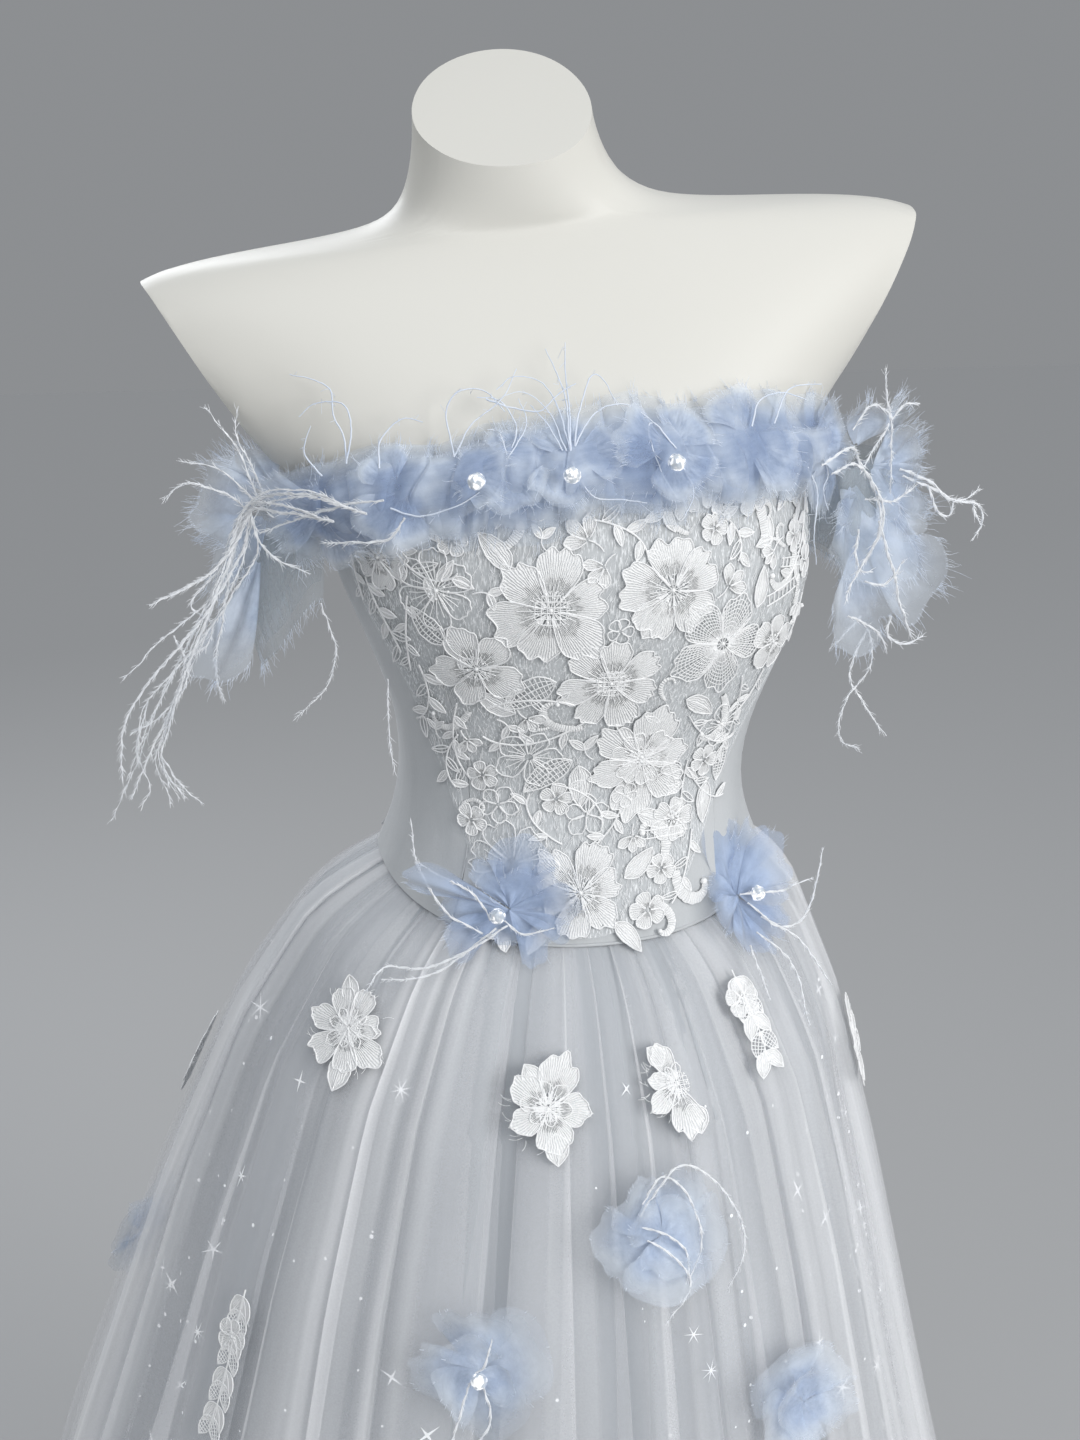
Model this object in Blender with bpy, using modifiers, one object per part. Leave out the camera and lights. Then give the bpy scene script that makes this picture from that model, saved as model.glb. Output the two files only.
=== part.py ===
"""A-line prom dress on a limbless dress form.

The dress is an off-the-shoulder gown: a fitted bodice with a lace front, a ruffled neckline that runs on into
two hanging sleeves, and a gathered skirt of three layers (lining, spangled tulle, plain tulle), with lace
motifs, tulle flowers and cut crystals sewn on. The form that it rests on is a smooth torso on a pole and a plate.

Metres, +Z up, front towards -Y, origin at the centre of the underside of the stand's base plate.
Right and left are the wearer's: right is -X. An angle is measured round the body from the front centre,
positive towards the wearer's left (+X), and 180 degrees is the centre back.
"""

import math
from collections import namedtuple

import bmesh
import bpy
from mathutils import Matrix, Vector

# ---------------------------------------------------------------- driving sizes

BASE_RADIUS = 0.190
BASE_THICKNESS = 0.008
POLE_RADIUS = 0.0125
SOLID_GAP = 0.0003          # left between any two pieces that meet
TORSO_BOTTOM = 0.800
NECK_CUT_HEIGHT = 1.464     # of the slanting neck face, at the neck's axis
NECK_CUT_SLOPE = 33.0       # degrees: the face looks forward and up
ARM_FACE_FOOT = 1.259       # height where the flat arm faces start
ARM_FACE_SLOPE = 31.0       # degrees from upright: an arm face looks outward and down

CLOTH = 0.0020              # bodice wall
BODICE_OUT = 0.0025         # bodice's inner face, out from the form
BODICE_ROWS = 10            # rows of facets from the waist seam to the top edge
LACE_OUT = 0.0064           # lace panel's inner face, out from the form
LACE_WALL = 0.0010
TULLE_WALL = 0.0012
RUFFLE_OUT = 0.0084         # inner face of the neckline ruffle, out from the form
NECKLINE_FRONT = 1.287
NECKLINE_BACK = 1.262
SEAM_SIDE = 1.030           # height of the waist seam at the sides
SEAM_FRONT = 1.0010
SEAM_BACK = 1.020
HEM = 0.014

ROUND_STEPS = 48            # facets round the torso
DEGREE = math.pi / 180

# ---------------------------------------------------------------- tables

# Torso: the form's outline at each height. power 2 is an ellipse, more is squarer.
Section = namedtuple("Section", "height half_width front back centre_y power")
TORSO = [
    Section(0.800, 0.158, 0.098, 0.108, 0.004, 2.2),
    Section(0.860, 0.168, 0.101, 0.118, 0.004, 2.2),
    Section(0.930, 0.156, 0.098, 0.106, 0.004, 2.2),
    Section(0.990, 0.1320, 0.092, 0.088, 0.004, 2.2),
    Section(1.030, 0.1130, 0.086, 0.078, 0.004, 2.2),
    Section(1.052, 0.1035, 0.082, 0.075, 0.004, 2.2),
    Section(1.080, 0.0990, 0.080, 0.074, 0.004, 2.2),
    Section(1.105, 0.1005, 0.082, 0.076, 0.003, 2.2),
    Section(1.128, 0.1055, 0.088, 0.079, 0.001, 2.2),
    Section(1.152, 0.1145, 0.097, 0.082, 0.000, 2.2),
    Section(1.178, 0.1240, 0.107, 0.085, -0.002, 2.2),
    Section(1.206, 0.1315, 0.114, 0.088, -0.003, 2.2),
    Section(1.235, 0.1350, 0.115, 0.091, -0.005, 2.2),
    Section(1.259, 0.1375, 0.111, 0.093, -0.006, 2.2),
    Section(1.285, 0.1560, 0.102, 0.094, -0.006, 2.2),
    Section(1.310, 0.1790, 0.091, 0.092, -0.006, 2.2),
    Section(1.335, 0.2060, 0.078, 0.085, -0.006, 2.2),
    Section(1.355, 0.2250, 0.067, 0.076, -0.006, 2.2),
    Section(1.375, 0.2330, 0.056, 0.066, -0.006, 2.2),
    Section(1.388, 0.2260, 0.048, 0.057, -0.005, 2.2),
    Section(1.396, 0.2050, 0.043, 0.050, -0.004, 2.1),
    Section(1.400, 0.1760, 0.041, 0.047, -0.003, 2.0),
    Section(1.402, 0.1400, 0.041, 0.046, -0.002, 2.0),
    Section(1.405, 0.1020, 0.042, 0.046, 0.000, 2.0),
    Section(1.411, 0.0720, 0.045, 0.048, 0.000, 2.0),
    Section(1.426, 0.0570, 0.047, 0.050, -0.002, 2.0),
    Section(1.448, 0.0500, 0.047, 0.048, -0.006, 2.0),
    Section(1.475, 0.0475, 0.046, 0.047, -0.011, 2.0),
    Section(1.515, 0.0470, 0.045, 0.046, -0.018, 2.0),
]

# Spine: the chest stands a little to the wearer's right of the hips, with the left shoulder higher.
# shift is sideways, and tilt is in degrees.
Spine = namedtuple("Spine", "height shift tilt")
SPINE = [
    Spine(1.000, 0.0000, 0.0),
    Spine(1.080, 0.0005, 0.0),
    Spine(1.140, 0.0030, 0.4),
    Spine(1.180, 0.0030, 1.2),
    Spine(1.210, -0.0015, 2.2),
    Spine(1.245, -0.0085, 3.3),
    Spine(1.290, -0.0200, 4.2),
    Spine(1.340, -0.0230, 4.5),
    Spine(1.385, -0.0235, 4.6),
    Spine(1.402, -0.0290, 5.0),
    Spine(1.425, -0.0390, 6.0),
    Spine(1.515, -0.0510, 10.0),
]

# Skirt: outline of the outer tulle. drop is the share of the way from the waist seam to the hem,
# right, left, front and back are how far it reaches from the axis, and fold is half a fold's depth.
Hang = namedtuple("Hang", "drop right left front back fold")
SKIRT = [
    Hang(0.000, 0.1300, 0.1290, 0.1010, 0.0930, 0.0006),
    Hang(0.025, 0.1680, 0.1440, 0.1240, 0.1260, 0.0012),
    Hang(0.060, 0.1920, 0.1590, 0.1470, 0.1620, 0.0022),
    Hang(0.110, 0.2140, 0.1740, 0.1690, 0.1960, 0.0036),
    Hang(0.180, 0.2450, 0.1920, 0.1930, 0.2310, 0.0054),
    Hang(0.280, 0.2850, 0.2170, 0.2190, 0.2690, 0.0076),
    Hang(0.420, 0.3310, 0.2490, 0.2560, 0.3180, 0.0104),
    Hang(0.620, 0.3860, 0.3010, 0.3080, 0.3830, 0.0140),
    Hang(0.820, 0.4340, 0.3570, 0.3590, 0.4430, 0.0172),
    Hang(1.000, 0.4720, 0.4050, 0.4010, 0.4900, 0.0200),
]
SKIRT_JOIN = 0.035          # share of the drop over which the skirt leaves the body's outline

# Skirt layers, from the inside out. A layer lies inside the outer tulle's outline by inset_folds of a fold's
# half depth, by inset at the waist, and by lower_inset more lower down. top_out is its inner face at the seam.
Layer = namedtuple("Layer", "node finish steps fold_share inset_folds inset lower_inset top_out hem_rise rings")
INNER_RINGS = (0.000, 0.025, 0.092, 0.200, 0.527, 1.000)
OUTER_RINGS = (0.000, 0.025, 0.092, 0.200, 0.400, 0.670, 1.000)
LAYERS = [
    Layer("skirt_lining", "lining_satin", 44, 0.0, 1.40, 0.0038, 0.0080, 0.0025, 0.012, INNER_RINGS),
    Layer("skirt_spangled_tulle", "spangled_tulle", 44, 0.0, 1.10, 0.0019, 0.0035, 0.0042, 0.006, INNER_RINGS),
    Layer("skirt_plain_tulle", "tulle_grey", 88, 1.0, 0.0, 0.0, 0.0, 0.0059, 0.000, OUTER_RINGS),
]
SKIRT_FOLDS = 22

# Bodice: where the seams between its panels run, as angles from the front centre.
# share is 0 at the waist seam and 1 at the top edge.
Seams = namedtuple("Seams", "share front_seam back_seam lace_right lace_left")
BODICE_SEAMS = [
    Seams(0.00, 40.0, 112.0, 31.0, 33.0),
    Seams(0.22, 42.0, 110.0, 52.0, 50.0),
    Seams(0.45, 45.0, 108.0, 64.0, 62.0),
    Seams(0.70, 49.0, 106.0, 74.0, 78.0),
    Seams(1.00, 52.0, 104.0, 78.0, 80.0),
]

# Neckline ruffle, as the plain solid of its reach: rise and drop are from the bodice's top edge.
Ruffle = namedtuple("Ruffle", "node start end rise drop thickness waves")
RUFFLES = [
    Ruffle("ruffle_front", -78.0, 76.0, 0.016, 0.030, 0.018, 7),
    Ruffle("ruffle_back_right", -177.0, -112.0, 0.012, 0.022, 0.012, 3),
    Ruffle("ruffle_back_left", 112.0, 177.0, 0.012, 0.022, 0.012, 3),
]

# Sleeves: side is -1 for the right, reach is from the axis, top and bottom are at the outermost point,
# ruffle_top and ruffle_bottom say which stretch of its outer face the ruffle covers.
Sleeve = namedtuple("Sleeve", "name side reach top bottom ruffle_top ruffle_bottom")
SLEEVES = [
    Sleeve("right", -1, 0.186, 1.238, 1.150, 1.262, 1.206),
    Sleeve("left", 1, 0.182, 1.272, 1.178, 1.298, 1.196),
]
SLEEVE_STEPS = 12
SLEEVE_FRONT_ANGLE = 78.0
SLEEVE_BACK_ANGLE = 110.0
SLEEVE_START, SLEEVE_END = 0.13, 0.88   # shares of the loop that the cloth covers

# Fringe: bunches of loose strands, each as the thin plain solid of its reach, down a line of two points.
Fringe = namedtuple("Fringe", "node start end width thickness")
FRINGES = [
    Fringe("strands_right", (-0.222, -0.0395, 1.215), (-0.256, -0.050, 1.086), 0.050, 0.006),
    Fringe("strands_left", (0.177, -0.0380, 1.174), (0.166, -0.048, 1.092), 0.036, 0.006),
    Fringe("strands_left_outer", (0.220, -0.030, 1.262), (0.238, -0.035, 1.216), 0.030, 0.006),
]

# What is sewn on: angle round the body, drop below the waist seam in metres (negative is on the bodice).
Sewn = namedtuple("Sewn", "node angle drop width height petals turn")
LACE_MOTIFS = [
    Sewn("lace_flower_1", -52.0, 0.058, 0.046, 0.062, 6, 20),
    Sewn("lace_flower_2", -13.0, 0.075, 0.042, 0.056, 5, 90),
    Sewn("lace_flower_3", 12.0, 0.066, 0.030, 0.056, 4, 75),
    Sewn("lace_leaf_1", 32.0, 0.046, 0.022, 0.044, 2, 100),
    Sewn("lace_leaf_2", -56.0, 0.258, 0.034, 0.110, 3, 90),
    Sewn("lace_flower_4", 74.0, 0.130, 0.046, 0.060, 5, 10),
    Sewn("lace_flower_5", 128.0, 0.080, 0.046, 0.062, 6, 50),
    Sewn("lace_flower_6", 168.0, 0.180, 0.044, 0.060, 5, 30),
    Sewn("lace_flower_7", -150.0, 0.095, 0.046, 0.060, 6, 0),
    Sewn("lace_flower_8", -104.0, 0.150, 0.044, 0.060, 5, 70),
]
TULLE_FLOWERS = [
    Sewn("waist_flower_right", -26.0, -0.016, 0.066, 0.050, 5, 10),
    Sewn("waist_flower_left", 44.0, -0.002, 0.052, 0.066, 5, 50),
    Sewn("skirt_flower_1", 5.0, 0.142, 0.056, 0.080, 5, 20),
    Sewn("skirt_flower_2", -19.5, 0.205, 0.066, 0.082, 5, 60),
    Sewn("skirt_flower_3", 28.0, 0.258, 0.056, 0.076, 5, 0),
    Sewn("skirt_flower_4", 112.0, 0.230, 0.060, 0.076, 5, 30),
    Sewn("skirt_flower_5", -168.0, 0.300, 0.060, 0.076, 5, 80),
    Sewn("skirt_flower_6", -118.0, 0.330, 0.060, 0.076, 5, 45),
]
LACE_LIFT = 0.0012
FLOWER_LIFT = 0.0030
FLOWER_DOME = 0.0060
FLOWER_WALL = 0.0020

# Crystals: name, angle, height above (+) the neckline edge, or the flower that it sits on.
CRYSTAL_RADIUS = 0.0046
NECK_CRYSTALS = [("crystal_right", -18.5, -0.004), ("crystal_centre", -3.0, -0.007), ("crystal_left", 13.5, -0.006)]
FLOWER_CRYSTALS = ["waist_flower_right", "waist_flower_left", "skirt_flower_2"]

# Concealed zip in the centre-back seam.
ZIP_WIDTH = 0.0034
ZIP_CHAIN_WALL = 0.0012
ZIP_CHAIN_IN = 0.0004       # from the panels' inner faces to the chain's
ZIP_TOP_BELOW_EDGE = 0.010
ZIP_SEAM_GAP = 0.0005
SLIDER_WIDTH, SLIDER_HEIGHT, SLIDER_DEPTH = 0.0062, 0.0085, 0.0026
EAR_WIDTH, EAR_HEIGHT, EAR_REACH = 0.0010, 0.0030, 0.0026
EAR_RAISE = 0.0018          # of the ears' middle above the slider's
PULL_WIDTH, PULL_LENGTH, PULL_DEPTH = 0.0056, 0.0200, 0.0012
PULL_NECK = 0.45            # width at the pin, as a share of the foot's
PULL_ABOVE_PIN = 0.0010

# name: (red, green, blue), roughness, metallic
FINISHES = {
    "form_white": ((0.86, 0.85, 0.82), 0.45, 0.0),
    "stand_steel": ((0.80, 0.80, 0.80), 0.35, 0.8),
    "bodice_satin": ((0.62, 0.66, 0.69), 0.60, 0.0),
    "lace_white": ((0.86, 0.87, 0.88), 0.80, 0.0),
    "tulle_blue": ((0.45, 0.55, 0.78), 0.85, 0.0),
    "tulle_grey": ((0.62, 0.65, 0.69), 0.85, 0.0),
    "spangled_tulle": ((0.66, 0.68, 0.72), 0.75, 0.0),
    "lining_satin": ((0.56, 0.57, 0.62), 0.55, 0.0),
    "strand_white": ((0.82, 0.86, 0.90), 0.70, 0.0),
    "crystal": ((0.92, 0.94, 0.97), 0.05, 0.0),
    "zip_nickel": ((0.75, 0.76, 0.78), 0.30, 1.0),
}


# ---------------------------------------------------------------- tables read between their rows

def between_rows(table, at):
    """The table's row at a value of its first column, on a smooth curve through the rows."""
    keys = [row[0] for row in table]
    if at <= keys[0]:
        return table[0]
    if at >= keys[-1]:
        return table[-1]
    after = next(i for i, key in enumerate(keys) if key > at)
    before = after - 1
    span = keys[after] - keys[before]
    t = (at - keys[before]) / span
    weights = (2 * t**3 - 3 * t**2 + 1, (t**3 - 2 * t**2 + t) * span, 3 * t**2 - 2 * t**3, (t**3 - t**2) * span)
    values = [at]
    for column in range(1, len(table[0])):
        start, end = table[before][column], table[after][column]
        slopes = (row_slope(table, before, column), row_slope(table, after, column))
        values.append(weights[0] * start + weights[1] * slopes[0] + weights[2] * end + weights[3] * slopes[1])
    return type(table[0])(*values)


def row_slope(table, row, column):
    """A column's slope at a row: flat at a peak, and no steeper than keeps the curve between its rows."""
    if row in (0, len(table) - 1):
        return 0.0 if row == 0 else (table[row][column] - table[row - 1][column]) / (table[row][0] - table[row - 1][0])
    before = (table[row][column] - table[row - 1][column]) / (table[row][0] - table[row - 1][0])
    after = (table[row + 1][column] - table[row][column]) / (table[row + 1][0] - table[row][0])
    if before * after <= 0:
        return 0.0
    return 2 * before * after / (before + after)


def ease(value):
    """0 to 1 with level ends."""
    value = min(1.0, max(0.0, value))
    return value * value * (3 - 2 * value)


# ---------------------------------------------------------------- surfaces that the pieces follow

def leaned(point):
    """A point of the upright figure, moved to where the spine's bend takes it."""
    spine = between_rows(SPINE, point.z)
    tilt = spine.tilt * DEGREE
    return Vector((spine.shift + point.x * math.cos(tilt), point.y, point.z + point.x * math.sin(tilt)))


def outline_point(angle, right, left, front, back, power):
    """A point of a rounded outline that reaches four distances from the axis."""
    across, forward = math.sin(angle), math.cos(angle)
    width = left if across > 0 else right
    depth = front if forward > 0 else back
    x = math.copysign(width * abs(across) ** (2 / power), across)
    y = -math.copysign(depth * abs(forward) ** (2 / power), forward)
    return x, y


def section_point(angle, height):
    """A point of the torso's outline before its arm faces are cut."""
    section = between_rows(TORSO, height)
    x, y = outline_point(angle, section.half_width, section.half_width, section.front, section.back, section.power)
    return Vector((x, y + section.centre_y, height))


def upright_body_point(angle, height):
    """A point of the torso's skin, with the body upright. Above the arm faces' foot it stays inside them."""
    point = section_point(angle, height)
    if height > ARM_FACE_FOOT:
        foot_reach = between_rows(TORSO, ARM_FACE_FOOT).half_width
        arm_face = foot_reach + (height - ARM_FACE_FOOT) * math.tan(ARM_FACE_SLOPE * DEGREE)
        point.x = min(arm_face, max(-arm_face, point.x))
    return point


def body_point(angle, height, out=0.0):
    """A point on the form's skin, moved out along its normal. The angle is in radians."""
    point = upright_body_point(angle, height)
    if out:
        step = 0.01
        along = upright_body_point(angle + step, height) - upright_body_point(angle - step, height)
        up = upright_body_point(angle, height + step / 2) - upright_body_point(angle, height - step / 2)
        point = point + along.cross(up).normalized() * out
    return leaned(point)


def seam_height(angle):
    """Height of the waist seam: it dips to the front centre."""
    forward = math.cos(angle)
    dip = SEAM_FRONT - SEAM_SIDE if forward > 0 else SEAM_BACK - SEAM_SIDE
    return SEAM_SIDE + dip * abs(forward) ** 1.5


def neckline_height(angle):
    """Height of the bodice's top edge."""
    share = (1 - math.cos(angle)) / 2
    return NECKLINE_FRONT + (NECKLINE_BACK - NECKLINE_FRONT) * ease(share)


def skirt_point(layer, angle, drop, out=0.0):
    """A point on the inner face of a skirt layer, moved out."""
    hang = between_rows(SKIRT, drop)
    fold = hang.fold * layer.fold_share * math.cos(SKIRT_FOLDS * angle)
    move = fold + out - layer.inset_folds * hang.fold - layer.inset - layer.lower_inset * ease(drop / 0.25)
    x, y = outline_point(angle, hang.right + move, hang.left + move, hang.front + move, hang.back + move, 2.0)
    top = seam_height(angle) - SOLID_GAP * 2
    height = top + (HEM + layer.hem_rise - top) * drop
    hanging = Vector((x, y, height))
    waist = body_point(angle, height, layer.top_out + out)
    return waist.lerp(hanging, ease(drop / SKIRT_JOIN))


def dress_point(angle, drop_m, out):
    """A point of the dress's outer face, outside the lace and the folds. drop_m is metres below the waist seam."""
    plain = LAYERS[-1]
    if drop_m < 0:
        return body_point(angle, seam_height(angle) - drop_m, LACE_OUT + LACE_WALL + out)
    drop = drop_m / (seam_height(angle) - HEM)
    hang = between_rows(SKIRT, drop)
    fold = hang.fold * (1 - math.cos(SKIRT_FOLDS * angle))
    return skirt_point(plain, angle, drop, TULLE_WALL + fold + out)


# ---------------------------------------------------------------- making and finishing objects

def clear_scene():
    for thing in list(bpy.data.objects):
        bpy.data.objects.remove(thing)


def finish_material(name):
    if name in bpy.data.materials:
        return bpy.data.materials[name]
    colour, roughness, metallic = FINISHES[name]
    material = bpy.data.materials.new(name)
    material.use_nodes = True
    shader = material.node_tree.nodes["Principled BSDF"]
    shader.inputs["Base Color"].default_value = (*colour, 1.0)
    shader.inputs["Roughness"].default_value = roughness
    shader.inputs["Metallic"].default_value = metallic
    return material


def new_object(name, bm, finish, smooth=True):
    """A bmesh made into an object of the dress's collection."""
    mesh = bpy.data.meshes.new(name)
    bm.to_mesh(mesh)
    bm.free()
    mesh.materials.append(finish_material(finish))
    made = bpy.data.objects.new(name, mesh)
    DRESS.objects.link(made)
    if smooth:
        mesh.shade_smooth()
        mesh.set_sharp_from_angle(angle=40 * DEGREE)
    return made


def shaped_grid(columns, rows, place):
    """A bmesh grid whose vertices go to place(u, v), with u and v from 0 to 1, kept in the layer "cloth"."""
    bm = bmesh.new()
    cloth = bm.verts.layers.float_vector.new("cloth")
    bmesh.ops.create_grid(bm, x_segments=columns, y_segments=rows, size=1.0)
    for vertex in bm.verts:
        u, v = (vertex.co.x + 1) / 2, (vertex.co.y + 1) / 2
        vertex[cloth] = (u, v, 0.0)
        vertex.co = place(u, v)
    bmesh.ops.remove_doubles(bm, verts=bm.verts, dist=1e-6)
    return bm


def wall(name, columns, rows, place, thickness, finish):
    """A closed cloth wall, from its inner face at place(u, v, 0) to its outer face at place(u, v, thickness)."""
    bm = shaped_grid(columns, rows, lambda u, v: place(u, v, 0.0))
    cloth = bm.verts.layers.float_vector["cloth"]
    raised = bmesh.ops.extrude_face_region(bm, geom=bm.faces[:], use_keep_orig=True)["geom"]
    for vertex in raised:
        if isinstance(vertex, bmesh.types.BMVert):
            vertex.co = place(vertex[cloth].x, vertex[cloth].y, thickness)
    bmesh.ops.recalc_face_normals(bm, faces=bm.faces)
    bm.verts.layers.float_vector.remove(cloth)
    return new_object(name, bm, finish)


def tube(name, columns, sides, place, finish):
    """A closed solid: rings of place(u, v), v running once round each, with both end rings filled."""
    bm = shaped_grid(columns, sides, place)
    bmesh.ops.holes_fill(bm, edges=[edge for edge in bm.edges if edge.is_boundary])
    bmesh.ops.recalc_face_normals(bm, faces=bm.faces)
    bm.verts.layers.float_vector.remove(bm.verts.layers.float_vector["cloth"])
    return new_object(name, bm, finish)


# ---------------------------------------------------------------- dress form

def cut_away(bm, verts, point, normal):
    """Removes what lies past a plane, among the faces of the given vertices, and closes the cut with a flat face."""
    kept = set(verts)
    edges = [edge for edge in bm.edges if kept.issuperset(edge.verts)]
    faces = [face for face in bm.faces if kept.issuperset(face.verts)]
    geometry = list(verts) + edges + faces
    bmesh.ops.bisect_plane(bm, geom=geometry, dist=1e-5, plane_co=point, plane_no=normal, clear_outer=True)
    bmesh.ops.holes_fill(bm, edges=[edge for edge in bm.edges if edge.is_boundary])


def torso_heights():
    """The table's own heights, with one more between each two that are far apart."""
    heights = []
    for lower, upper in zip(TORSO, TORSO[1:]):
        heights.append(lower.height)
        if upper.height - lower.height > 0.028:
            heights.append((lower.height + upper.height) / 2)
    return heights + [TORSO[-1].height]


def make_torso():
    """The form's smooth torso, with a slanting neck face and flat arm faces."""
    heights = torso_heights()
    rows = len(heights) - 1

    def place(u, v):
        return section_point(2 * math.pi * u, heights[round(v * rows)])

    bm = shaped_grid(ROUND_STEPS, rows, place)
    bmesh.ops.holes_fill(bm, edges=[edge for edge in bm.edges if edge.is_boundary])
    foot_reach = between_rows(TORSO, ARM_FACE_FOOT).half_width
    slope = ARM_FACE_SLOPE * DEGREE
    for side in (-1, 1):
        above = [vertex for vertex in bm.verts if vertex.co.z > ARM_FACE_FOOT - 1e-6]
        foot = Vector((side * foot_reach, 0, ARM_FACE_FOOT))
        cut_away(bm, above, foot, Vector((side * math.cos(slope), 0, -math.sin(slope))))
    neck_axis_y = between_rows(TORSO, NECK_CUT_HEIGHT).centre_y
    neck_slope = NECK_CUT_SLOPE * DEGREE
    cut_away(bm, bm.verts[:], Vector((0, neck_axis_y, NECK_CUT_HEIGHT)),
             Vector((0, -math.sin(neck_slope), math.cos(neck_slope))))
    for vertex in bm.verts:
        vertex.co = leaned(vertex.co)
    bmesh.ops.recalc_face_normals(bm, faces=bm.faces)
    return new_object("form_torso", bm, "form_white")


def make_cylinder(name, radius, low, high, finish, sides, bevel=0.0):
    """An upright cylinder on the axis. A bevel rounds both of its rims."""
    bm = bmesh.new()
    middle = Matrix.Translation((0, 0, (low + high) / 2))
    bmesh.ops.create_cone(bm, cap_ends=True, segments=sides, radius1=radius, radius2=radius, depth=high - low,
                          matrix=middle)
    made = new_object(name, bm, finish)
    if bevel:
        rounding = made.modifiers.new("rim", "BEVEL")
        rounding.width = bevel
        rounding.segments = 2
    return made


def make_stand():
    make_cylinder("form_base", BASE_RADIUS, 0.0, BASE_THICKNESS, "stand_steel", 48, bevel=0.003)
    make_cylinder("form_pole", POLE_RADIUS, BASE_THICKNESS + SOLID_GAP, TORSO_BOTTOM - SOLID_GAP, "stand_steel", 20)


# ---------------------------------------------------------------- bodice

def bodice_height(angle, share):
    """Height at a share of the way from the waist seam to the top edge."""
    low = seam_height(angle)
    return low + (neckline_height(angle) - low) * share


def make_panel(name, columns, start, end):
    """A bodice panel. start and end give its two edges' angles, in degrees, at a share of its height."""
    def place(u, v, out):
        angle = (start(v) + (end(v) - start(v)) * u) * DEGREE
        return body_point(angle, bodice_height(angle, v), BODICE_OUT + out)

    return wall(name, columns, BODICE_ROWS, place, CLOTH, "bodice_satin")


def edge_gap(share):
    """Degrees of angle that leave the gap of a seam between two panels."""
    width = between_rows(TORSO, bodice_height(math.pi / 2, share)).half_width
    return SOLID_GAP * 1.3 / width / DEGREE


def make_bodice():
    """Five panels: front, two sides and two backs that meet at the zip."""
    def front_seam(share):
        return between_rows(BODICE_SEAMS, share).front_seam

    def back_seam(share):
        return between_rows(BODICE_SEAMS, share).back_seam

    def zip_edge(share):
        depth = between_rows(TORSO, bodice_height(math.pi, share)).back
        return 180 - (ZIP_WIDTH / 2 + ZIP_SEAM_GAP) / depth / DEGREE * 1.35

    make_panel("bodice_front", 14, lambda s: -front_seam(s) + edge_gap(s), lambda s: front_seam(s) - edge_gap(s))
    for side, name in ((-1, "right"), (1, "left")):
        near = [lambda s, k=side: k * (front_seam(s) + edge_gap(s)), lambda s, k=side: k * (back_seam(s) - edge_gap(s))]
        far = [lambda s, k=side: k * (back_seam(s) + edge_gap(s)), lambda s, k=side: k * zip_edge(s)]
        for panel, edges, columns in (("side", near, 10), ("back", far, 7)):
            start, end = edges if side > 0 else edges[::-1]
            make_panel(f"bodice_{panel}_{name}", columns, start, end)


def make_lace_panel():
    """The lace over the front: one wall, tapering from the side seams at the bust to the waist seam."""
    def place(u, v, out):
        share = min(0.98, max(0.01, v))
        seams = between_rows(BODICE_SEAMS, share)
        scallop = 1.2 * math.cos(BODICE_ROWS * math.pi * v)
        angle = (-seams.lace_right - scallop + (seams.lace_right + seams.lace_left + 2 * scallop) * u) * DEGREE
        return body_point(angle, bodice_height(angle, share), LACE_OUT + out)

    wall("lace_panel", 24, BODICE_ROWS, place, LACE_WALL, "lace_white")


# ---------------------------------------------------------------- zip

def make_zip():
    """The zip's chain between the back panels, its slider, and a pull tab that swings between the slider's ears."""
    def place(u, v, out):
        share = min(0.98, max(0.01, v))
        height = bodice_height(math.pi, share)
        depth = between_rows(TORSO, height).back
        angle = math.pi + (u - 0.5) * ZIP_WIDTH / depth * 1.35
        return body_point(angle, height, BODICE_OUT + ZIP_CHAIN_IN + out)

    wall("zip_chain", 1, BODICE_ROWS, place, ZIP_CHAIN_WALL, "zip_nickel")

    height = neckline_height(math.pi) - ZIP_TOP_BELOW_EDGE - SLIDER_HEIGHT / 2
    out = BODICE_OUT + CLOTH + SOLID_GAP
    centre = body_point(math.pi, height, out)
    up = (body_point(math.pi, height + 0.004, out) - body_point(math.pi, height - 0.004, out)).normalized()
    away = up.cross(Vector((1, 0, 0))).normalized()
    if away.y < 0:
        away = -away
    across = away.cross(up)
    turn = Matrix((across, away, up)).transposed().to_4x4()
    slider = make_block("zip_slider", (SLIDER_WIDTH, SLIDER_DEPTH, SLIDER_HEIGHT))
    slider.matrix_world = Matrix.Translation(centre + away * SLIDER_DEPTH / 2) @ turn
    pin = centre + away * (SLIDER_DEPTH + EAR_REACH / 2) + up * EAR_RAISE
    for side in (-1, 1):
        ear = make_block(f"slider_ear_{side}", (EAR_WIDTH, EAR_REACH * 2, EAR_HEIGHT))
        DRESS.objects.unlink(ear)
        CUTTERS.objects.link(ear)
        ear.hide_render = True
        ear.display_type = "WIRE"
        ear.matrix_world = Matrix.Translation(pin + across * side * (SLIDER_WIDTH - EAR_WIDTH) / 2) @ turn
        join = slider.modifiers.new(f"ear {side}", "BOOLEAN")
        join.operation = "UNION"
        join.object = ear
    make_pull(pin)


def make_block(name, size):
    bm = bmesh.new()
    bmesh.ops.create_cube(bm, size=1.0)
    bmesh.ops.scale(bm, vec=size, verts=bm.verts)
    return new_object(name, bm, "zip_nickel", smooth=False)


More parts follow.
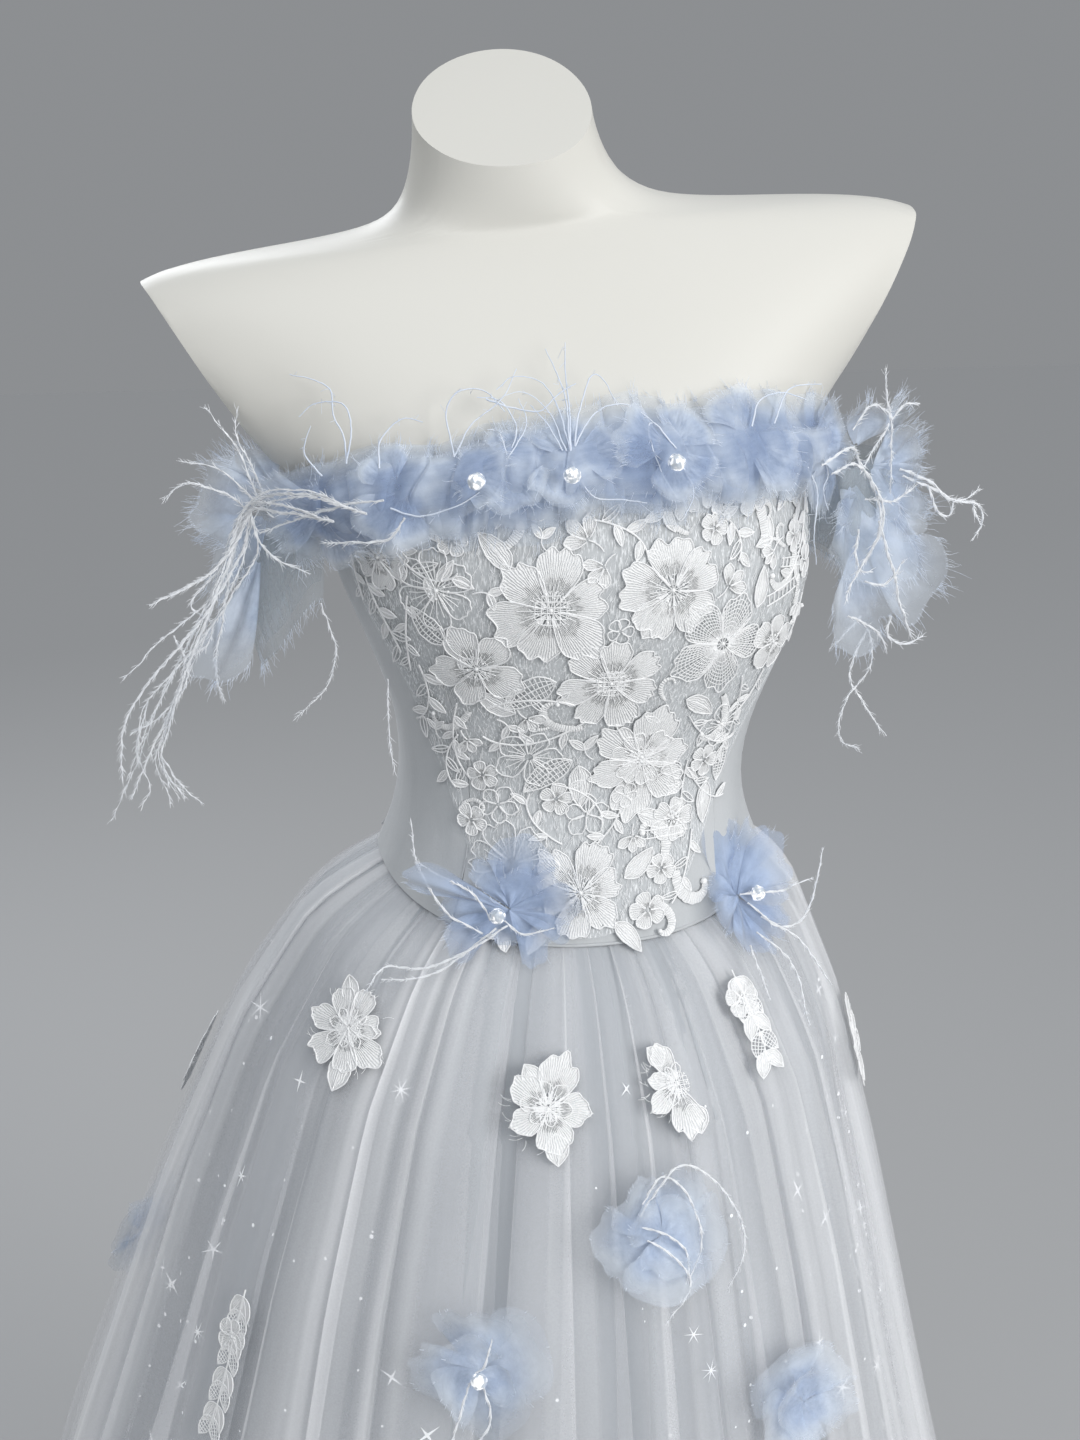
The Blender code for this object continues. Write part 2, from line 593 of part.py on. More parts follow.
def make_pull(pin):
    """A drop-shaped tab, narrow at the pin and round at its foot, hanging straight down from the pin."""
    bm = bmesh.new()
    bmesh.ops.create_circle(bm, cap_ends=True, segments=16, radius=1.0)
    for vertex in bm.verts:
        down = (1 - vertex.co.y) / 2
        half_width = PULL_WIDTH / 2 * (PULL_NECK + (1 - PULL_NECK) * down)
        vertex.co = Vector((vertex.co.x * half_width, 0.0, PULL_ABOVE_PIN - PULL_LENGTH * down))
    bmesh.ops.recalc_face_normals(bm, faces=bm.faces)
    made = new_object("zip_pull", bm, "zip_nickel", smooth=False)
    made.location = pin
    solid = made.modifiers.new("thickness", "SOLIDIFY")
    solid.thickness = PULL_DEPTH
    solid.offset = 0.0


# ---------------------------------------------------------------- ruffles, sleeves and strands

def make_ruffle(ruffle):
    """A stretch of the neckline ruffle, as a rounded wavy band with tapered ends."""
    def place(u, v):
        angle = (ruffle.start + (ruffle.end - ruffle.start) * u) * DEGREE
        wave = 0.88 + 0.12 * math.cos(2 * math.pi * ruffle.waves * u)
        taper = 0.35 + 0.65 * ease(min(u, 1 - u) / 0.08)
        turn = 2 * math.pi * v
        rise = ruffle.rise if math.sin(turn) > 0 else ruffle.drop
        height = neckline_height(angle) + rise * wave * taper * math.sin(turn)
        out = RUFFLE_OUT + ruffle.thickness * taper * wave * (0.5 + 0.5 * math.cos(turn))
        return body_point(angle, height, out)

    columns = round((ruffle.end - ruffle.start) / 5.0)
    tube(ruffle.node, columns, 8, place, "tulle_blue")


def sleeve_point(sleeve, along, down, out=0.0):
    """A point of a sleeve's inner face: along runs from its front end to its back end, down from top to bottom."""
    front = body_point(SLEEVE_FRONT_ANGLE * DEGREE, NECKLINE_FRONT, 0.010)
    back = body_point(SLEEVE_BACK_ANGLE * DEGREE, NECKLINE_BACK, 0.010)
    front.x, back.x = abs(front.x), abs(back.x)
    sweep = math.pi * along
    middle_y = (front.y + back.y) / 2
    half_depth = (back.y - front.y) / 2 + out * 0.5 + 0.012 * math.sin(sweep)
    anchor_x = front.x + (back.x - front.x) * along
    flare = 0.010 * down
    x = anchor_x + (sleeve.reach + flare + out - anchor_x) * math.sin(sweep) ** 0.8
    y = middle_y - half_depth * math.cos(sweep)
    end_top = NECKLINE_FRONT - 0.022 + (NECKLINE_BACK - NECKLINE_FRONT) * along
    top = end_top + (sleeve.top - end_top) * math.sin(sweep)
    bottom = end_top - 0.045 + (sleeve.bottom - end_top + 0.045) * math.sin(sweep)
    return Vector((sleeve.side * x, y, top + (bottom - top) * down))


def make_sleeve(sleeve):
    """An open loop of cloth beside the bodice, with its ruffle over its upper outer face."""
    def place(u, v, out):
        return sleeve_point(sleeve, SLEEVE_START + (SLEEVE_END - SLEEVE_START) * u, 1 - v, out)

    wall(f"sleeve_{sleeve.name}", SLEEVE_STEPS, 3, place, TULLE_WALL, "tulle_grey")

    def ruffle_place(u, v):
        along = 0.20 + 0.60 * (u if sleeve.side > 0 else 1 - u)
        taper = 0.45 + 0.55 * ease(min(u, 1 - u) / 0.15)
        turn = 2 * math.pi * v
        middle = (sleeve.ruffle_top + sleeve.ruffle_bottom) / 2
        half = (sleeve.ruffle_top - sleeve.ruffle_bottom) / 2 * taper
        lobes = 0.9 + 0.1 * math.cos(8 * math.pi * u)
        out = TULLE_WALL + 0.004 + 0.013 * taper * lobes * (0.5 + 0.5 * math.cos(turn))
        point = sleeve_point(sleeve, along, 0.5, out)
        point.z = middle + half * lobes * math.sin(turn)
        return point

    tube(f"sleeve_ruffle_{sleeve.name}", SLEEVE_STEPS, 8, ruffle_place, "tulle_blue")


def make_fringe(fringe):
    """A bunch of hanging strands as one thin solid, wide at the top and pointed at the bottom."""
    start, end = Vector(fringe.start), Vector(fringe.end)
    through = Vector((0.0, 1.0, 0.0))
    across = (end - start).cross(through).normalized()

    def place(u, v):
        turn = 2 * math.pi * v
        taper = 1 - 0.7 * u
        flat = across * (fringe.width * math.cos(turn)) + through * (fringe.thickness * math.sin(turn))
        return start.lerp(end, u) + flat * (taper / 2)

    tube(fringe.node, 5, 8, place, "strand_white")


# ---------------------------------------------------------------- lace motifs, tulle flowers and crystals

def make_sewn(sewn, lift, dome, thickness, finish, depth):
    """A petalled piece that follows the dress: a disc of rings whose rim waves in and out between petals."""
    bm = bmesh.new()
    rim = 2 * sewn.petals if sewn.petals > 3 else 8
    bmesh.ops.create_circle(bm, cap_ends=True, cap_tris=False, segments=rim, radius=1.0)
    bmesh.ops.inset_region(bm, faces=bm.faces, thickness=0.5, use_even_offset=True)
    bmesh.ops.poke(bm, faces=[face for face in bm.faces if len(face.verts) > 4])
    radius_at = dress_radius(sewn)
    for vertex in bm.verts:
        share = min(1.0, vertex.co.xy.length)
        turn = math.atan2(vertex.co.y, vertex.co.x)
        reach = 1 - depth * share * (0.5 - 0.5 * math.cos(sewn.petals * (turn - sewn.turn * DEGREE)))
        across = vertex.co.x * reach * sewn.width / 2
        down = -vertex.co.y * reach * sewn.height / 2
        angle = sewn.angle * DEGREE + across / radius_at
        vertex.co = dress_point(angle, sewn.drop + down, lift + dome * share * share)
    bmesh.ops.recalc_face_normals(bm, faces=bm.faces)
    faces_out = sum(face.normal.dot(Vector((face.calc_center_median().x, face.calc_center_median().y, 0)))
                    for face in bm.faces)
    if faces_out < 0:
        bmesh.ops.reverse_faces(bm, faces=bm.faces)
    made = new_object(sewn.node, bm, finish)
    solid = made.modifiers.new("thickness", "SOLIDIFY")
    solid.thickness = thickness
    solid.offset = 1.0
    return made


def dress_radius(sewn):
    """How far the dress is from the axis where a piece is sewn on."""
    return dress_point(sewn.angle * DEGREE, sewn.drop, 0.0).xy.length


def make_crystal(name, centre):
    """A faceted round stone."""
    bm = bmesh.new()
    bmesh.ops.create_uvsphere(bm, u_segments=8, v_segments=4, radius=CRYSTAL_RADIUS)
    made = new_object(name, bm, "crystal", smooth=False)
    made.location = centre
    return made


def make_crystals():
    """Three stones along the neckline ruffle, and one at the heart of some flowers."""
    front = RUFFLES[0]
    for name, angle, rise in NECK_CRYSTALS:
        out = RUFFLE_OUT + front.thickness + CRYSTAL_RADIUS + SOLID_GAP
        make_crystal(name, body_point(angle * DEGREE, neckline_height(angle * DEGREE) + rise, out))
    flowers = {flower.node: flower for flower in TULLE_FLOWERS}
    for node in FLOWER_CRYSTALS:
        flower = flowers[node]
        out = FLOWER_LIFT + FLOWER_WALL + FLOWER_DOME * 0.5 + CRYSTAL_RADIUS + SOLID_GAP
        make_crystal(f"crystal_{node}", dress_point(flower.angle * DEGREE, flower.drop, out))


# ---------------------------------------------------------------- skirt

def make_skirt():
    """Three gathered layers, each a closed ring of cloth from the waist seam to its hem."""
    for layer in LAYERS:
        rows = len(layer.rings) - 1

        def place(u, v, out, layer=layer, rows=rows):
            return skirt_point(layer, 2 * math.pi * u, layer.rings[round((1 - v) * rows)], out)

        wall(layer.node, layer.steps, rows, place, TULLE_WALL, layer.finish)


# ---------------------------------------------------------------- the whole model

clear_scene()
DRESS = bpy.data.collections.new("a_line_prom_dress")
CUTTERS = bpy.data.collections.new("joined_shapes")
bpy.context.scene.collection.children.link(DRESS)
bpy.context.scene.collection.children.link(CUTTERS)

make_torso()
make_stand()
make_bodice()
make_lace_panel()
make_zip()
for ruffle_row in RUFFLES:
    make_ruffle(ruffle_row)
for sleeve_row in SLEEVES:
    make_sleeve(sleeve_row)
for fringe_row in FRINGES:
    make_fringe(fringe_row)
for motif in LACE_MOTIFS:
    make_sewn(motif, LACE_LIFT, 0.0, LACE_WALL, "lace_white", 0.30)
for flower_row in TULLE_FLOWERS:
    make_sewn(flower_row, FLOWER_LIFT, FLOWER_DOME, FLOWER_WALL, "tulle_blue", 0.22)
make_crystals()
make_skirt()
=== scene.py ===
"""Looks of an off-the-shoulder prom gown on a limbless dress form.

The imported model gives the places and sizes. Each section below makes one piece, or a group of like pieces, in
the order in which the gown is put together, from the form outwards.
Metres, +Z up, the front towards -Y, and the wearer's left towards +X.
"""

import math

import bmesh
import bpy
import numpy as np
from mathutils import Matrix, Vector
from mathutils.bvhtree import BVHTree


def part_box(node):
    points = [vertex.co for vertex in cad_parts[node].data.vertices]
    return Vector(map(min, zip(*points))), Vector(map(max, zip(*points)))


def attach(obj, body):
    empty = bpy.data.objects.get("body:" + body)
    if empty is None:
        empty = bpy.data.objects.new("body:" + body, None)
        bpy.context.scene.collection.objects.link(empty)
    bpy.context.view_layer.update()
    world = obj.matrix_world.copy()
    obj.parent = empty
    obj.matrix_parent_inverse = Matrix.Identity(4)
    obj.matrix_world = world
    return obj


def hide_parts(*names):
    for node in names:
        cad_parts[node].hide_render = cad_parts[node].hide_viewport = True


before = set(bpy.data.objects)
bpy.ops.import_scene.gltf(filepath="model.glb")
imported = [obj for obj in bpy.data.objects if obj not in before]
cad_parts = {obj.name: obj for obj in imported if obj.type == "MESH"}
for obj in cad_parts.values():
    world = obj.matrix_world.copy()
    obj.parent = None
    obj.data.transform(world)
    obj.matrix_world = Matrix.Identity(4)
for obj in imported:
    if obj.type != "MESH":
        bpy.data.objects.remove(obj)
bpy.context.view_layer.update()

# ---------------------------------------------------------------- camera, floor and light
# The viewer stands a little to the wearer's right and above, close enough for the skirt to run out of view.
# The floor is plain and pale. Soft round lamps stand in front, at the wearer's left, overhead and low down,
# and one stands behind. The sky is brighter overhead than at the horizon.

VIEW_TURN, VIEW_DOWN, VIEW_ROLL = -11.5, 19.5, 0.5                      # degrees
VIEW_DISTANCE, VIEW_SIDE, VIEW_HEIGHT = 1.2836, -0.0184, 1.1074         # metres
LENS, SENSOR = 53.3, 36.0                                               # millimetres
SHEER_LAYERS = 24       # sheets of net that a ray may pass through



def aimed(place, way):
    """The placing of a camera or a lamp that looks along a direction."""
    return Matrix.Translation(place) @ way.to_track_quat("-Z", "Y").to_matrix().to_4x4()


turn, down, roll = (math.radians(angle) for angle in (VIEW_TURN, VIEW_DOWN, VIEW_ROLL))
target = Vector((VIEW_SIDE * math.cos(turn), VIEW_SIDE * math.sin(turn), VIEW_HEIGHT))
towards = Vector((-math.sin(turn) * math.cos(down), math.cos(turn) * math.cos(down), -math.sin(down)))
camera_data = bpy.data.cameras.new("camera")
camera_data.lens = LENS
camera_data.sensor_width = SENSOR
camera = bpy.data.objects.new("camera", camera_data)
camera.matrix_world = aimed(target - towards * VIEW_DISTANCE, towards) @ Matrix.Rotation(roll, 4, "Z")
bpy.context.scene.collection.objects.link(camera)
bpy.context.scene.camera = camera
bpy.context.scene.view_settings.view_transform = "Standard"
bpy.context.scene.cycles.transparent_max_bounces = SHEER_LAYERS


class Signal:
    """A shader value. Python's operators on it add Math nodes, and node() adds any other node."""

    def __init__(self, tree, socket):
        self.tree = tree
        self.socket = socket

    def node(self, kind, settings=None, output=0, **inputs):
        made = self.tree.nodes.new(kind)
        for name, value in (settings or {}).items():
            setattr(made, name, value)
        for name, value in inputs.items():
            key = int(name[1:]) if name[0] == "_" else name.replace("_", " ")
            if isinstance(value, Signal):
                self.tree.links.new(value.socket, made.inputs[key])
            else:
                made.inputs[key].default_value = value
        return Signal(self.tree, made.outputs[output])

    def math(self, operation, *values):
        inputs = {f"_{slot}": value for slot, value in enumerate(values)}
        return self.node("ShaderNodeMath", {"operation": operation}, **inputs)

    def between(self, low, high):
        """0 below low, 1 above high, and a soft step between them."""
        return self.node("ShaderNodeMapRange", {"interpolation_type": "SMOOTHSTEP"},
                         Value=self, From_Min=low, From_Max=high)

    def __add__(self, other):
        return self.math("ADD", self, other)

    __radd__ = __add__

    def __sub__(self, other):
        return self.math("SUBTRACT", self, other)

    def __rsub__(self, other):
        return self.math("SUBTRACT", other, self)

    def __mul__(self, other):
        return self.math("MULTIPLY", self, other)

    __rmul__ = __mul__


class Finish:
    """A material in the making: its Principled shader, and the coordinates that its patterns read."""

    def __init__(self, name, roughness, metallic=0.0, **constants):
        self.material = bpy.data.materials.new(name)
        self.material.use_nodes = True
        self.tree = self.material.node_tree
        self.shader = self.tree.nodes["Principled BSDF"]
        self.shader.inputs["Roughness"].default_value = roughness
        self.shader.inputs["Metallic"].default_value = metallic
        for socket, value in constants.items():
            self.shader.inputs[socket.replace("_", " ")].default_value = value
        place = self.tree.nodes.new("ShaderNodeTexCoord")
        self.place = Signal(self.tree, place.outputs["Object"])
        self.cloth = Signal(self.tree, place.outputs["UV"])

    def feed(self, socket, signal):
        if isinstance(signal, Signal):
            self.tree.links.new(signal.socket, self.shader.inputs[socket])
        else:
            self.shader.inputs[socket].default_value = signal

    def noise(self, coordinates, scale, detail=3.0, roughness=0.5, stretch=(1.0, 1.0, 1.0)):
        stretched = coordinates.node("ShaderNodeMapping", Vector=coordinates, Scale=stretch)
        return stretched.node("ShaderNodeTexNoise", Vector=stretched, Scale=scale,
                              Detail=detail, Roughness=roughness)

    def mix(self, share, low, high):
        """A colour between two colours, by a share from 0 to 1."""
        return self.place.node("ShaderNodeMix", {"data_type": "RGBA"}, 2, _0=share,
                               _6=(*low, 1.0), _7=(*high, 1.0))

    def tint(self, share, low, high):
        self.feed("Base Color", self.mix(share, low, high))

    def bump(self, height, distance, strength=1.0):
        raised = self.place.node("ShaderNodeBump", Height=height, Distance=distance, Strength=strength)
        self.feed("Normal", raised)


def in_view(made):
    bpy.context.scene.collection.objects.link(made)
    return made


def lamp(name, place, aim, size, power, colour):
    data = bpy.data.lights.new(name, "AREA")
    data.shape = "DISK"
    data.size = size
    data.energy = power
    data.color = colour
    made = bpy.data.objects.new(name, data)
    made.matrix_world = aimed(place, Vector(aim) - Vector(place))
    in_view(made)


def mesh_of(name, bm):
    """A mesh made from a bmesh, which is used up."""
    mesh = bpy.data.meshes.new(name)
    bm.to_mesh(mesh)
    bm.free()
    return mesh


CHEST = (0.0, -0.05, 1.15)
lamp("key_lamp", (1.7, -2.4, 2.1), CHEST, 1.4, 39.0, (1.0, 0.985, 0.965))
lamp("fill_lamp", (-0.8, -1.9, 3.2), CHEST, 1.6, 14.0, (0.96, 0.98, 1.0))
lamp("low_lamp", (2.1, -3.5, 1.3), (0.0, -0.15, 0.95), 1.6, 30.0, (0.96, 0.98, 1.0))
lamp("back_lamp", (-0.8, 2.4, 2.4), CHEST, 1.5, 24.0, (0.95, 0.97, 1.0))
SKY_LOW, SKY_RISE, HORIZON, OVERHEAD = 0.285, 0.46, 0.10, 0.75
world = bpy.data.worlds.new("studio")
world.use_nodes = True
backing = world.node_tree.nodes["Background"]
backing.inputs["Color"].default_value = (0.93, 0.96, 1.0, 1.0)
sky = Signal(world.node_tree, world.node_tree.nodes.new("ShaderNodeTexCoord").outputs["Object"])
sky_height = sky.node("ShaderNodeSeparateXYZ", output=2, Vector=sky)
glow = sky_height.between(HORIZON, OVERHEAD) * SKY_RISE + SKY_LOW
world.node_tree.links.new(glow.socket, backing.inputs["Strength"])
bpy.context.scene.world = world

FLOOR_SIZE = 14.0
floor_bm = bmesh.new()
bmesh.ops.create_grid(floor_bm, x_segments=1, y_segments=1, size=FLOOR_SIZE / 2)
floor_mesh = mesh_of("floor", floor_bm)
floor = in_view(bpy.data.objects.new("floor", floor_mesh))
floor_finish = Finish("floor_paint", 0.9)
floor_finish.feed("Base Color", (0.395, 0.397, 0.399, 1.0))
floor_mesh.materials.append(floor_finish.material)


# ---------------------------------------------------------------- dress form
# A smooth warm-white moulded torso with a slanting neck face and flat arm faces. It stands on a steel tube in
# a round steel plate. A collar on the plate and a socket under the torso hold the tube.

def merged_copy(*nodes):
    """The CAD nodes' meshes in one bmesh, with their loose triangles joined up into quads."""
    bm = bmesh.new()
    for node in nodes:
        bm.from_mesh(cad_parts[node].data)
    bmesh.ops.remove_doubles(bm, verts=bm.verts, dist=1e-5)
    bmesh.ops.join_triangles(bm, faces=bm.faces, angle_face_threshold=math.radians(25),
                             angle_shape_threshold=math.radians(60))
    return bm


def crease_corners(bm, angle):
    """Keeps the edges that turn outwards by more than an angle sharp under subdivision."""
    crease = bm.edges.layers.float.new("crease_edge")
    for edge in bm.edges:
        if len(edge.link_faces) == 2 and edge.calc_face_angle_signed() > math.radians(angle):
            edge[crease] = 1.0
            edge.smooth = False


def piece_of(name, bm, finish, replaces=(), smooth=True):
    """A bmesh made into a finished piece that stands for CAD nodes."""
    return dress_up(name, mesh_of(name, bm), finish, replaces, smooth)


def dress_up(name, mesh, finish, replaces=(), smooth=True):
    """A mesh or a curve made into a finished piece of the dress or its form."""
    made = in_view(bpy.data.objects.new(name, mesh))
    mesh.materials.append(finish.material)
    if smooth:
        mesh.shade_smooth()
    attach(made, "dress")
    if replaces:
        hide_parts(*replaces)
    return made


def subdivide(made, levels):
    modifier = made.modifiers.new("smooth", "SUBSURF")
    modifier.levels = levels
    modifier.render_levels = levels
    return made


shell_white = Finish("form_shell", 0.42, Specular_IOR_Level=0.35, Coat_Roughness=0.5)
speckle = shell_white.noise(shell_white.place, 3.0, 2.0)
shell_white.tint(speckle, (0.685, 0.672, 0.622), (0.735, 0.722, 0.672))
shell_white.feed("Roughness", speckle * 0.10 + 0.38)
orange_peel = shell_white.noise(shell_white.place, 420.0, 2.0)
shell_white.bump(orange_peel, 0.00004, 0.5)

torso_bm = merged_copy("form_torso")
crease_corners(torso_bm, 40)
subdivide(piece_of("torso_shell", torso_bm, shell_white, ["form_torso"]), 2)

steel = Finish("brushed_steel", 0.32, 1.0)
brushing = steel.noise(steel.place, 90.0, 4.0, 0.6, (1.0, 1.0, 14.0))
steel.tint(brushing, (0.52, 0.52, 0.52), (0.66, 0.66, 0.65))
steel.feed("Roughness", brushing * 0.18 + 0.24)


def turned(name, profile, steps, finish, replaces=()):
    """A solid of revolution about the stand's axis, from (radius, height) points that start and end on it."""
    bm = bmesh.new()
    points = [bm.verts.new((radius, 0.0, height)) for radius, height in profile]
    edges = [bm.edges.new(pair) for pair in zip(points, points[1:])]
    bmesh.ops.spin(bm, geom=points + edges, cent=(0, 0, 0), axis=(0, 0, 1), angle=2 * math.pi,
                   steps=steps, use_merge=True)
    bmesh.ops.remove_doubles(bm, verts=bm.verts, dist=1e-6)
    bmesh.ops.recalc_face_normals(bm, faces=bm.faces)
    made = piece_of(name, bm, finish, replaces)
    made.data.set_sharp_from_angle(angle=math.radians(35))
    return made


base_high, pole_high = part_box("form_base")[1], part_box("form_pole")[1]
plate_radius, plate_top = base_high.x, base_high.z
tube_radius, tube_top = pole_high.x, pole_high.z
RIM = 0.003
rim_arc = [(plate_radius - RIM + RIM * math.sin(t), plate_top - RIM + RIM * math.cos(t))
           for t in np.linspace(0, math.pi / 2, 5)]
under_arc = [(plate_radius - RIM + RIM * math.cos(t), RIM - RIM * math.sin(t))
             for t in np.linspace(0, math.pi / 2, 5)]
turned("stand_plate", [(0.0, plate_top), *rim_arc, *under_arc, (0.0, 0.0)], 128, steel,
       ["form_base"])
COLLAR_RADIUS, COLLAR_HEIGHT = 0.024, 0.030
SOCKET_RADIUS, SOCKET_HEIGHT = 0.019, 0.026
turned("stand_tube", [
    (0.0, plate_top + 0.0003), (COLLAR_RADIUS, plate_top + 0.0003), (COLLAR_RADIUS, plate_top + 0.006),
    (COLLAR_RADIUS - 0.004, plate_top + 0.009), (COLLAR_RADIUS - 0.005, plate_top + COLLAR_HEIGHT - 0.002),
    (COLLAR_RADIUS - 0.007, plate_top + COLLAR_HEIGHT), (tube_radius, plate_top + COLLAR_HEIGHT),
    (tube_radius, tube_top - SOCKET_HEIGHT), (SOCKET_RADIUS - 0.002, tube_top - SOCKET_HEIGHT),
    (SOCKET_RADIUS, tube_top - SOCKET_HEIGHT + 0.002), (SOCKET_RADIUS, tube_top), (0.0, tube_top),
], 64, steel, ["form_pole"])


# ---------------------------------------------------------------- bodice
# Five panels of pale grey satin. On the gown they lie under one layer of plain net, which is not made here. The
# front one is cut between two princess seams that open towards the bust, and the back ones meet at the zip.

AXIS = -0.008           # x of the upright line that angles are measured round


def turns_of(points):
    """Angles round the upright axis, in degrees from the front centre."""
    return np.degrees(np.arctan2(points[:, 0] - AXIS, -points[:, 1]))


def unit(vectors):
    return vectors / np.linalg.norm(vectors, axis=-1, keepdims=True)


class Rounded:
    """A surface that goes round the upright axis, read off CAD nodes and smoothed between their facets.

    A place on it is an angle in degrees from the front centre, or a distance along the cloth from there, and
    a height. Both grow towards the wearer's left and upwards.
    """

    TURN = 1.5              # degrees from one column of the surface's table to the next
    REACH = 1.0             # how far out the surface is looked for
    UP = 1.0                # which way the levels run
    CLOTH_STEP = 0.002

    def __init__(self, nodes, low, high, rise=0.004, soften=3, soften_up=3):
        bm = bmesh.new()
        for node in nodes:
            bm.from_mesh(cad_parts[node].data)
        tree = BVHTree.FromBMesh(bm)
        self.angles = np.arange(-180.0, 180.0, self.TURN)
        self.measure(np.array([vert.co for vert in bm.verts]))
        bm.free()
        self.low, self.rise = low, rise
        levels = np.arange(low, high + rise, rise)
        radii = np.full((len(levels), len(self.angles)), np.nan)
        for column, angle in enumerate(self.angles):
            way = math.radians(angle)
            outward = Vector((math.sin(way), -math.cos(way), 0.0))
            for row, height in enumerate(self.height(angle, levels)):
                hit = tree.ray_cast(Vector((AXIS, 0.0, height)) + outward * self.REACH, -outward)[3]
                if hit is not None:
                    radii[row, column] = self.REACH - hit
        for column in radii.T:
            known = np.flatnonzero(~np.isnan(column))
            column[:] = column[known[np.abs(np.arange(len(column))[:, None] - known).argmin(axis=1)]]
        for _ in range(soften):
            radii = (np.roll(radii, 1, 1) + 2 * radii + np.roll(radii, -1, 1)) / 4
        for _ in range(soften_up):
            padded = np.vstack([2 * radii[:1] - radii[1:2], radii, 2 * radii[-1:] - radii[-2:-1]])
            radii = (padded[:-2] + 2 * padded[1:-1] + padded[2:]) / 4
        self.radii = radii
        middle = len(self.angles) // 2
        ways = np.radians(self.angles)
        ring = np.stack([radii * np.sin(ways), -radii * np.cos(ways)], -1)
        strides = np.linalg.norm(ring - np.roll(ring, 1, 1), axis=-1)
        along = np.cumsum(strides, axis=1)
        along -= along[:, middle:middle + 1]
        self.cloth = np.arange(along[:, 0].max(), along[:, -1].min(), self.CLOTH_STEP)
        self.turns = np.array([np.interp(self.cloth, row, self.angles) for row in along])

    def measure(self, points):
        """Nothing to find out about a surface whose levels are heights."""

    def height(self, angle, level):
        return level + 0 * angle

    def read(self, table, across, level):
        """A value of a table, at columns given as a fraction and at levels."""
        up = np.clip((level - self.low) / self.rise, 0, len(table) - 1.001)
        row, column = np.floor(up).astype(int), np.floor(across).astype(int)
        s, t = across - column, up - row
        left, right = column % table.shape[1], (column + 1) % table.shape[1]
        return ((table[row, left] * (1 - s) + table[row, right] * s) * (1 - t)
                + (table[row + 1, left] * (1 - s) + table[row + 1, right] * s) * t)

    def on_axis(self, angle, level):
        radius, way = self.read(self.radii, (angle + 180.0) / self.TURN, level), np.radians(angle)
        return np.stack([AXIS + radius * np.sin(way), -radius * np.cos(way), self.height(angle, level)], -1)

    def point(self, angle, level, out=0.0):
        """Points at angles and levels, some way out from the surface along its normal."""
        angle, level, out = np.broadcast_arrays(*(np.asarray(value, float) for value in (angle, level, out)))
        along = self.on_axis(angle + 2.0, level) - self.on_axis(angle - 2.0, level)
        up = self.on_axis(angle, level + self.rise) - self.on_axis(angle, level - self.rise)
        normal = np.cross(along, up)
        normal *= self.UP / np.linalg.norm(normal, axis=-1, keepdims=True)
        return self.on_axis(angle, level) + out[..., None] * normal

    def sewn(self, places):
        """Points for places on the cloth: how far along from the front centre, how high and how far out."""
        places = np.asarray(places, float)
        across = np.clip((places[:, 0] - self.cloth[0]) / self.CLOTH_STEP, 0, len(self.cloth) - 1.001)
        return self.point(self.read(self.turns, across, places[:, 1]), places[:, 1], places[:, 2])


BODICE = ["bodice_front", "bodice_side_left", "bodice_side_right", "bodice_back_left", "bodice_back_right"]
chest_low = min(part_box(node)[0].z for node in BODICE)
chest_high = max(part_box(node)[1].z for node in BODICE)
chest = Rounded(["form_torso", *BODICE, "skirt_plain_tulle"], chest_low - 0.03, chest_high + 0.05)

satin = Finish("bodice_satin", 0.65, Sheen_Weight=0.4, Sheen_Roughness=0.4, Specular_IOR_Level=0.2)
weave = satin.noise(satin.place, 1500.0, 2.0, 0.5, (1.0, 1.0, 0.4))
tone = satin.noise(satin.place, 26.0, 4.0, 0.6, (1.0, 1.0, 0.22))
SATIN_DARK, SATIN_LIGHT = (0.46, 0.48, 0.495), (0.66, 0.675, 0.685)
satin.tint(tone * 1.1 + weave * 0.3 - 0.2, SATIN_DARK, SATIN_LIGHT)
satin.bump(tone + weave * 0.1, 0.0022, 0.5)
PANEL_CUTS = {          # width, length and area of each panel as it is cut
    "bodice_front": (0.30, 0.28, 0.058), "bodice_side_left": (0.16, 0.27, 0.030),
    "bodice_side_right": (0.16, 0.27, 0.029), "bodice_back_left": (0.17, 0.26, 0.033),
    "bodice_back_right": (0.17, 0.26, 0.031),
}
for node, (wide, tall, area) in PANEL_CUTS.items():
    panel_bm = merged_copy(node)
    crease_corners(panel_bm, 50)
    panel = subdivide(piece_of(node + "_satin", panel_bm, satin, [node]), 1)


# ---------------------------------------------------------------- front lace
# White corded lace sewn over the front panels and hanging a little past the waist seam. Its net ground is
# fuzzy with short loose threads, and carries stitched flowers, latticed leaves, scrolls and corded vines.

LACE_EDGE = {           # height, and how far the lace goes along the cloth to each side of the front centre
    1.004: (-0.050, 0.051), 1.030: (-0.056, 0.059), 1.060: (-0.070, 0.076), 1.100: (-0.086, 0.095),
    1.150: (-0.112, 0.124), 1.200: (-0.148, 0.160), 1.285: (-0.175, 0.172),
}
GROUND_OUT, FILL_OUT, CORD_OUT = 0.0009, 0.0014, 0.0018     # how far out net, stitches and cords lie
lace_heights = np.array(sorted(LACE_EDGE))
lace_sides = np.array([LACE_EDGE[height] for height in lace_heights])


def lace_across(share, height):
    """How far along the cloth a share of the lace's width is: -1 is its right edge, and 1 its left."""
    right, left = (np.interp(height, lace_heights, lace_sides[:, side]) for side in (0, 1))
    return np.where(share < 0, -share * right, share * left)


def put(mesh, places):
    mesh.vertices.foreach_set("co", np.asarray(places, np.float32).ravel())
    mesh.update()


def places_of(mesh):
    places = np.empty(len(mesh.vertices) * 3, np.float32)
    mesh.vertices.foreach_get("co", places)
    return places.reshape(-1, 3).astype(float)


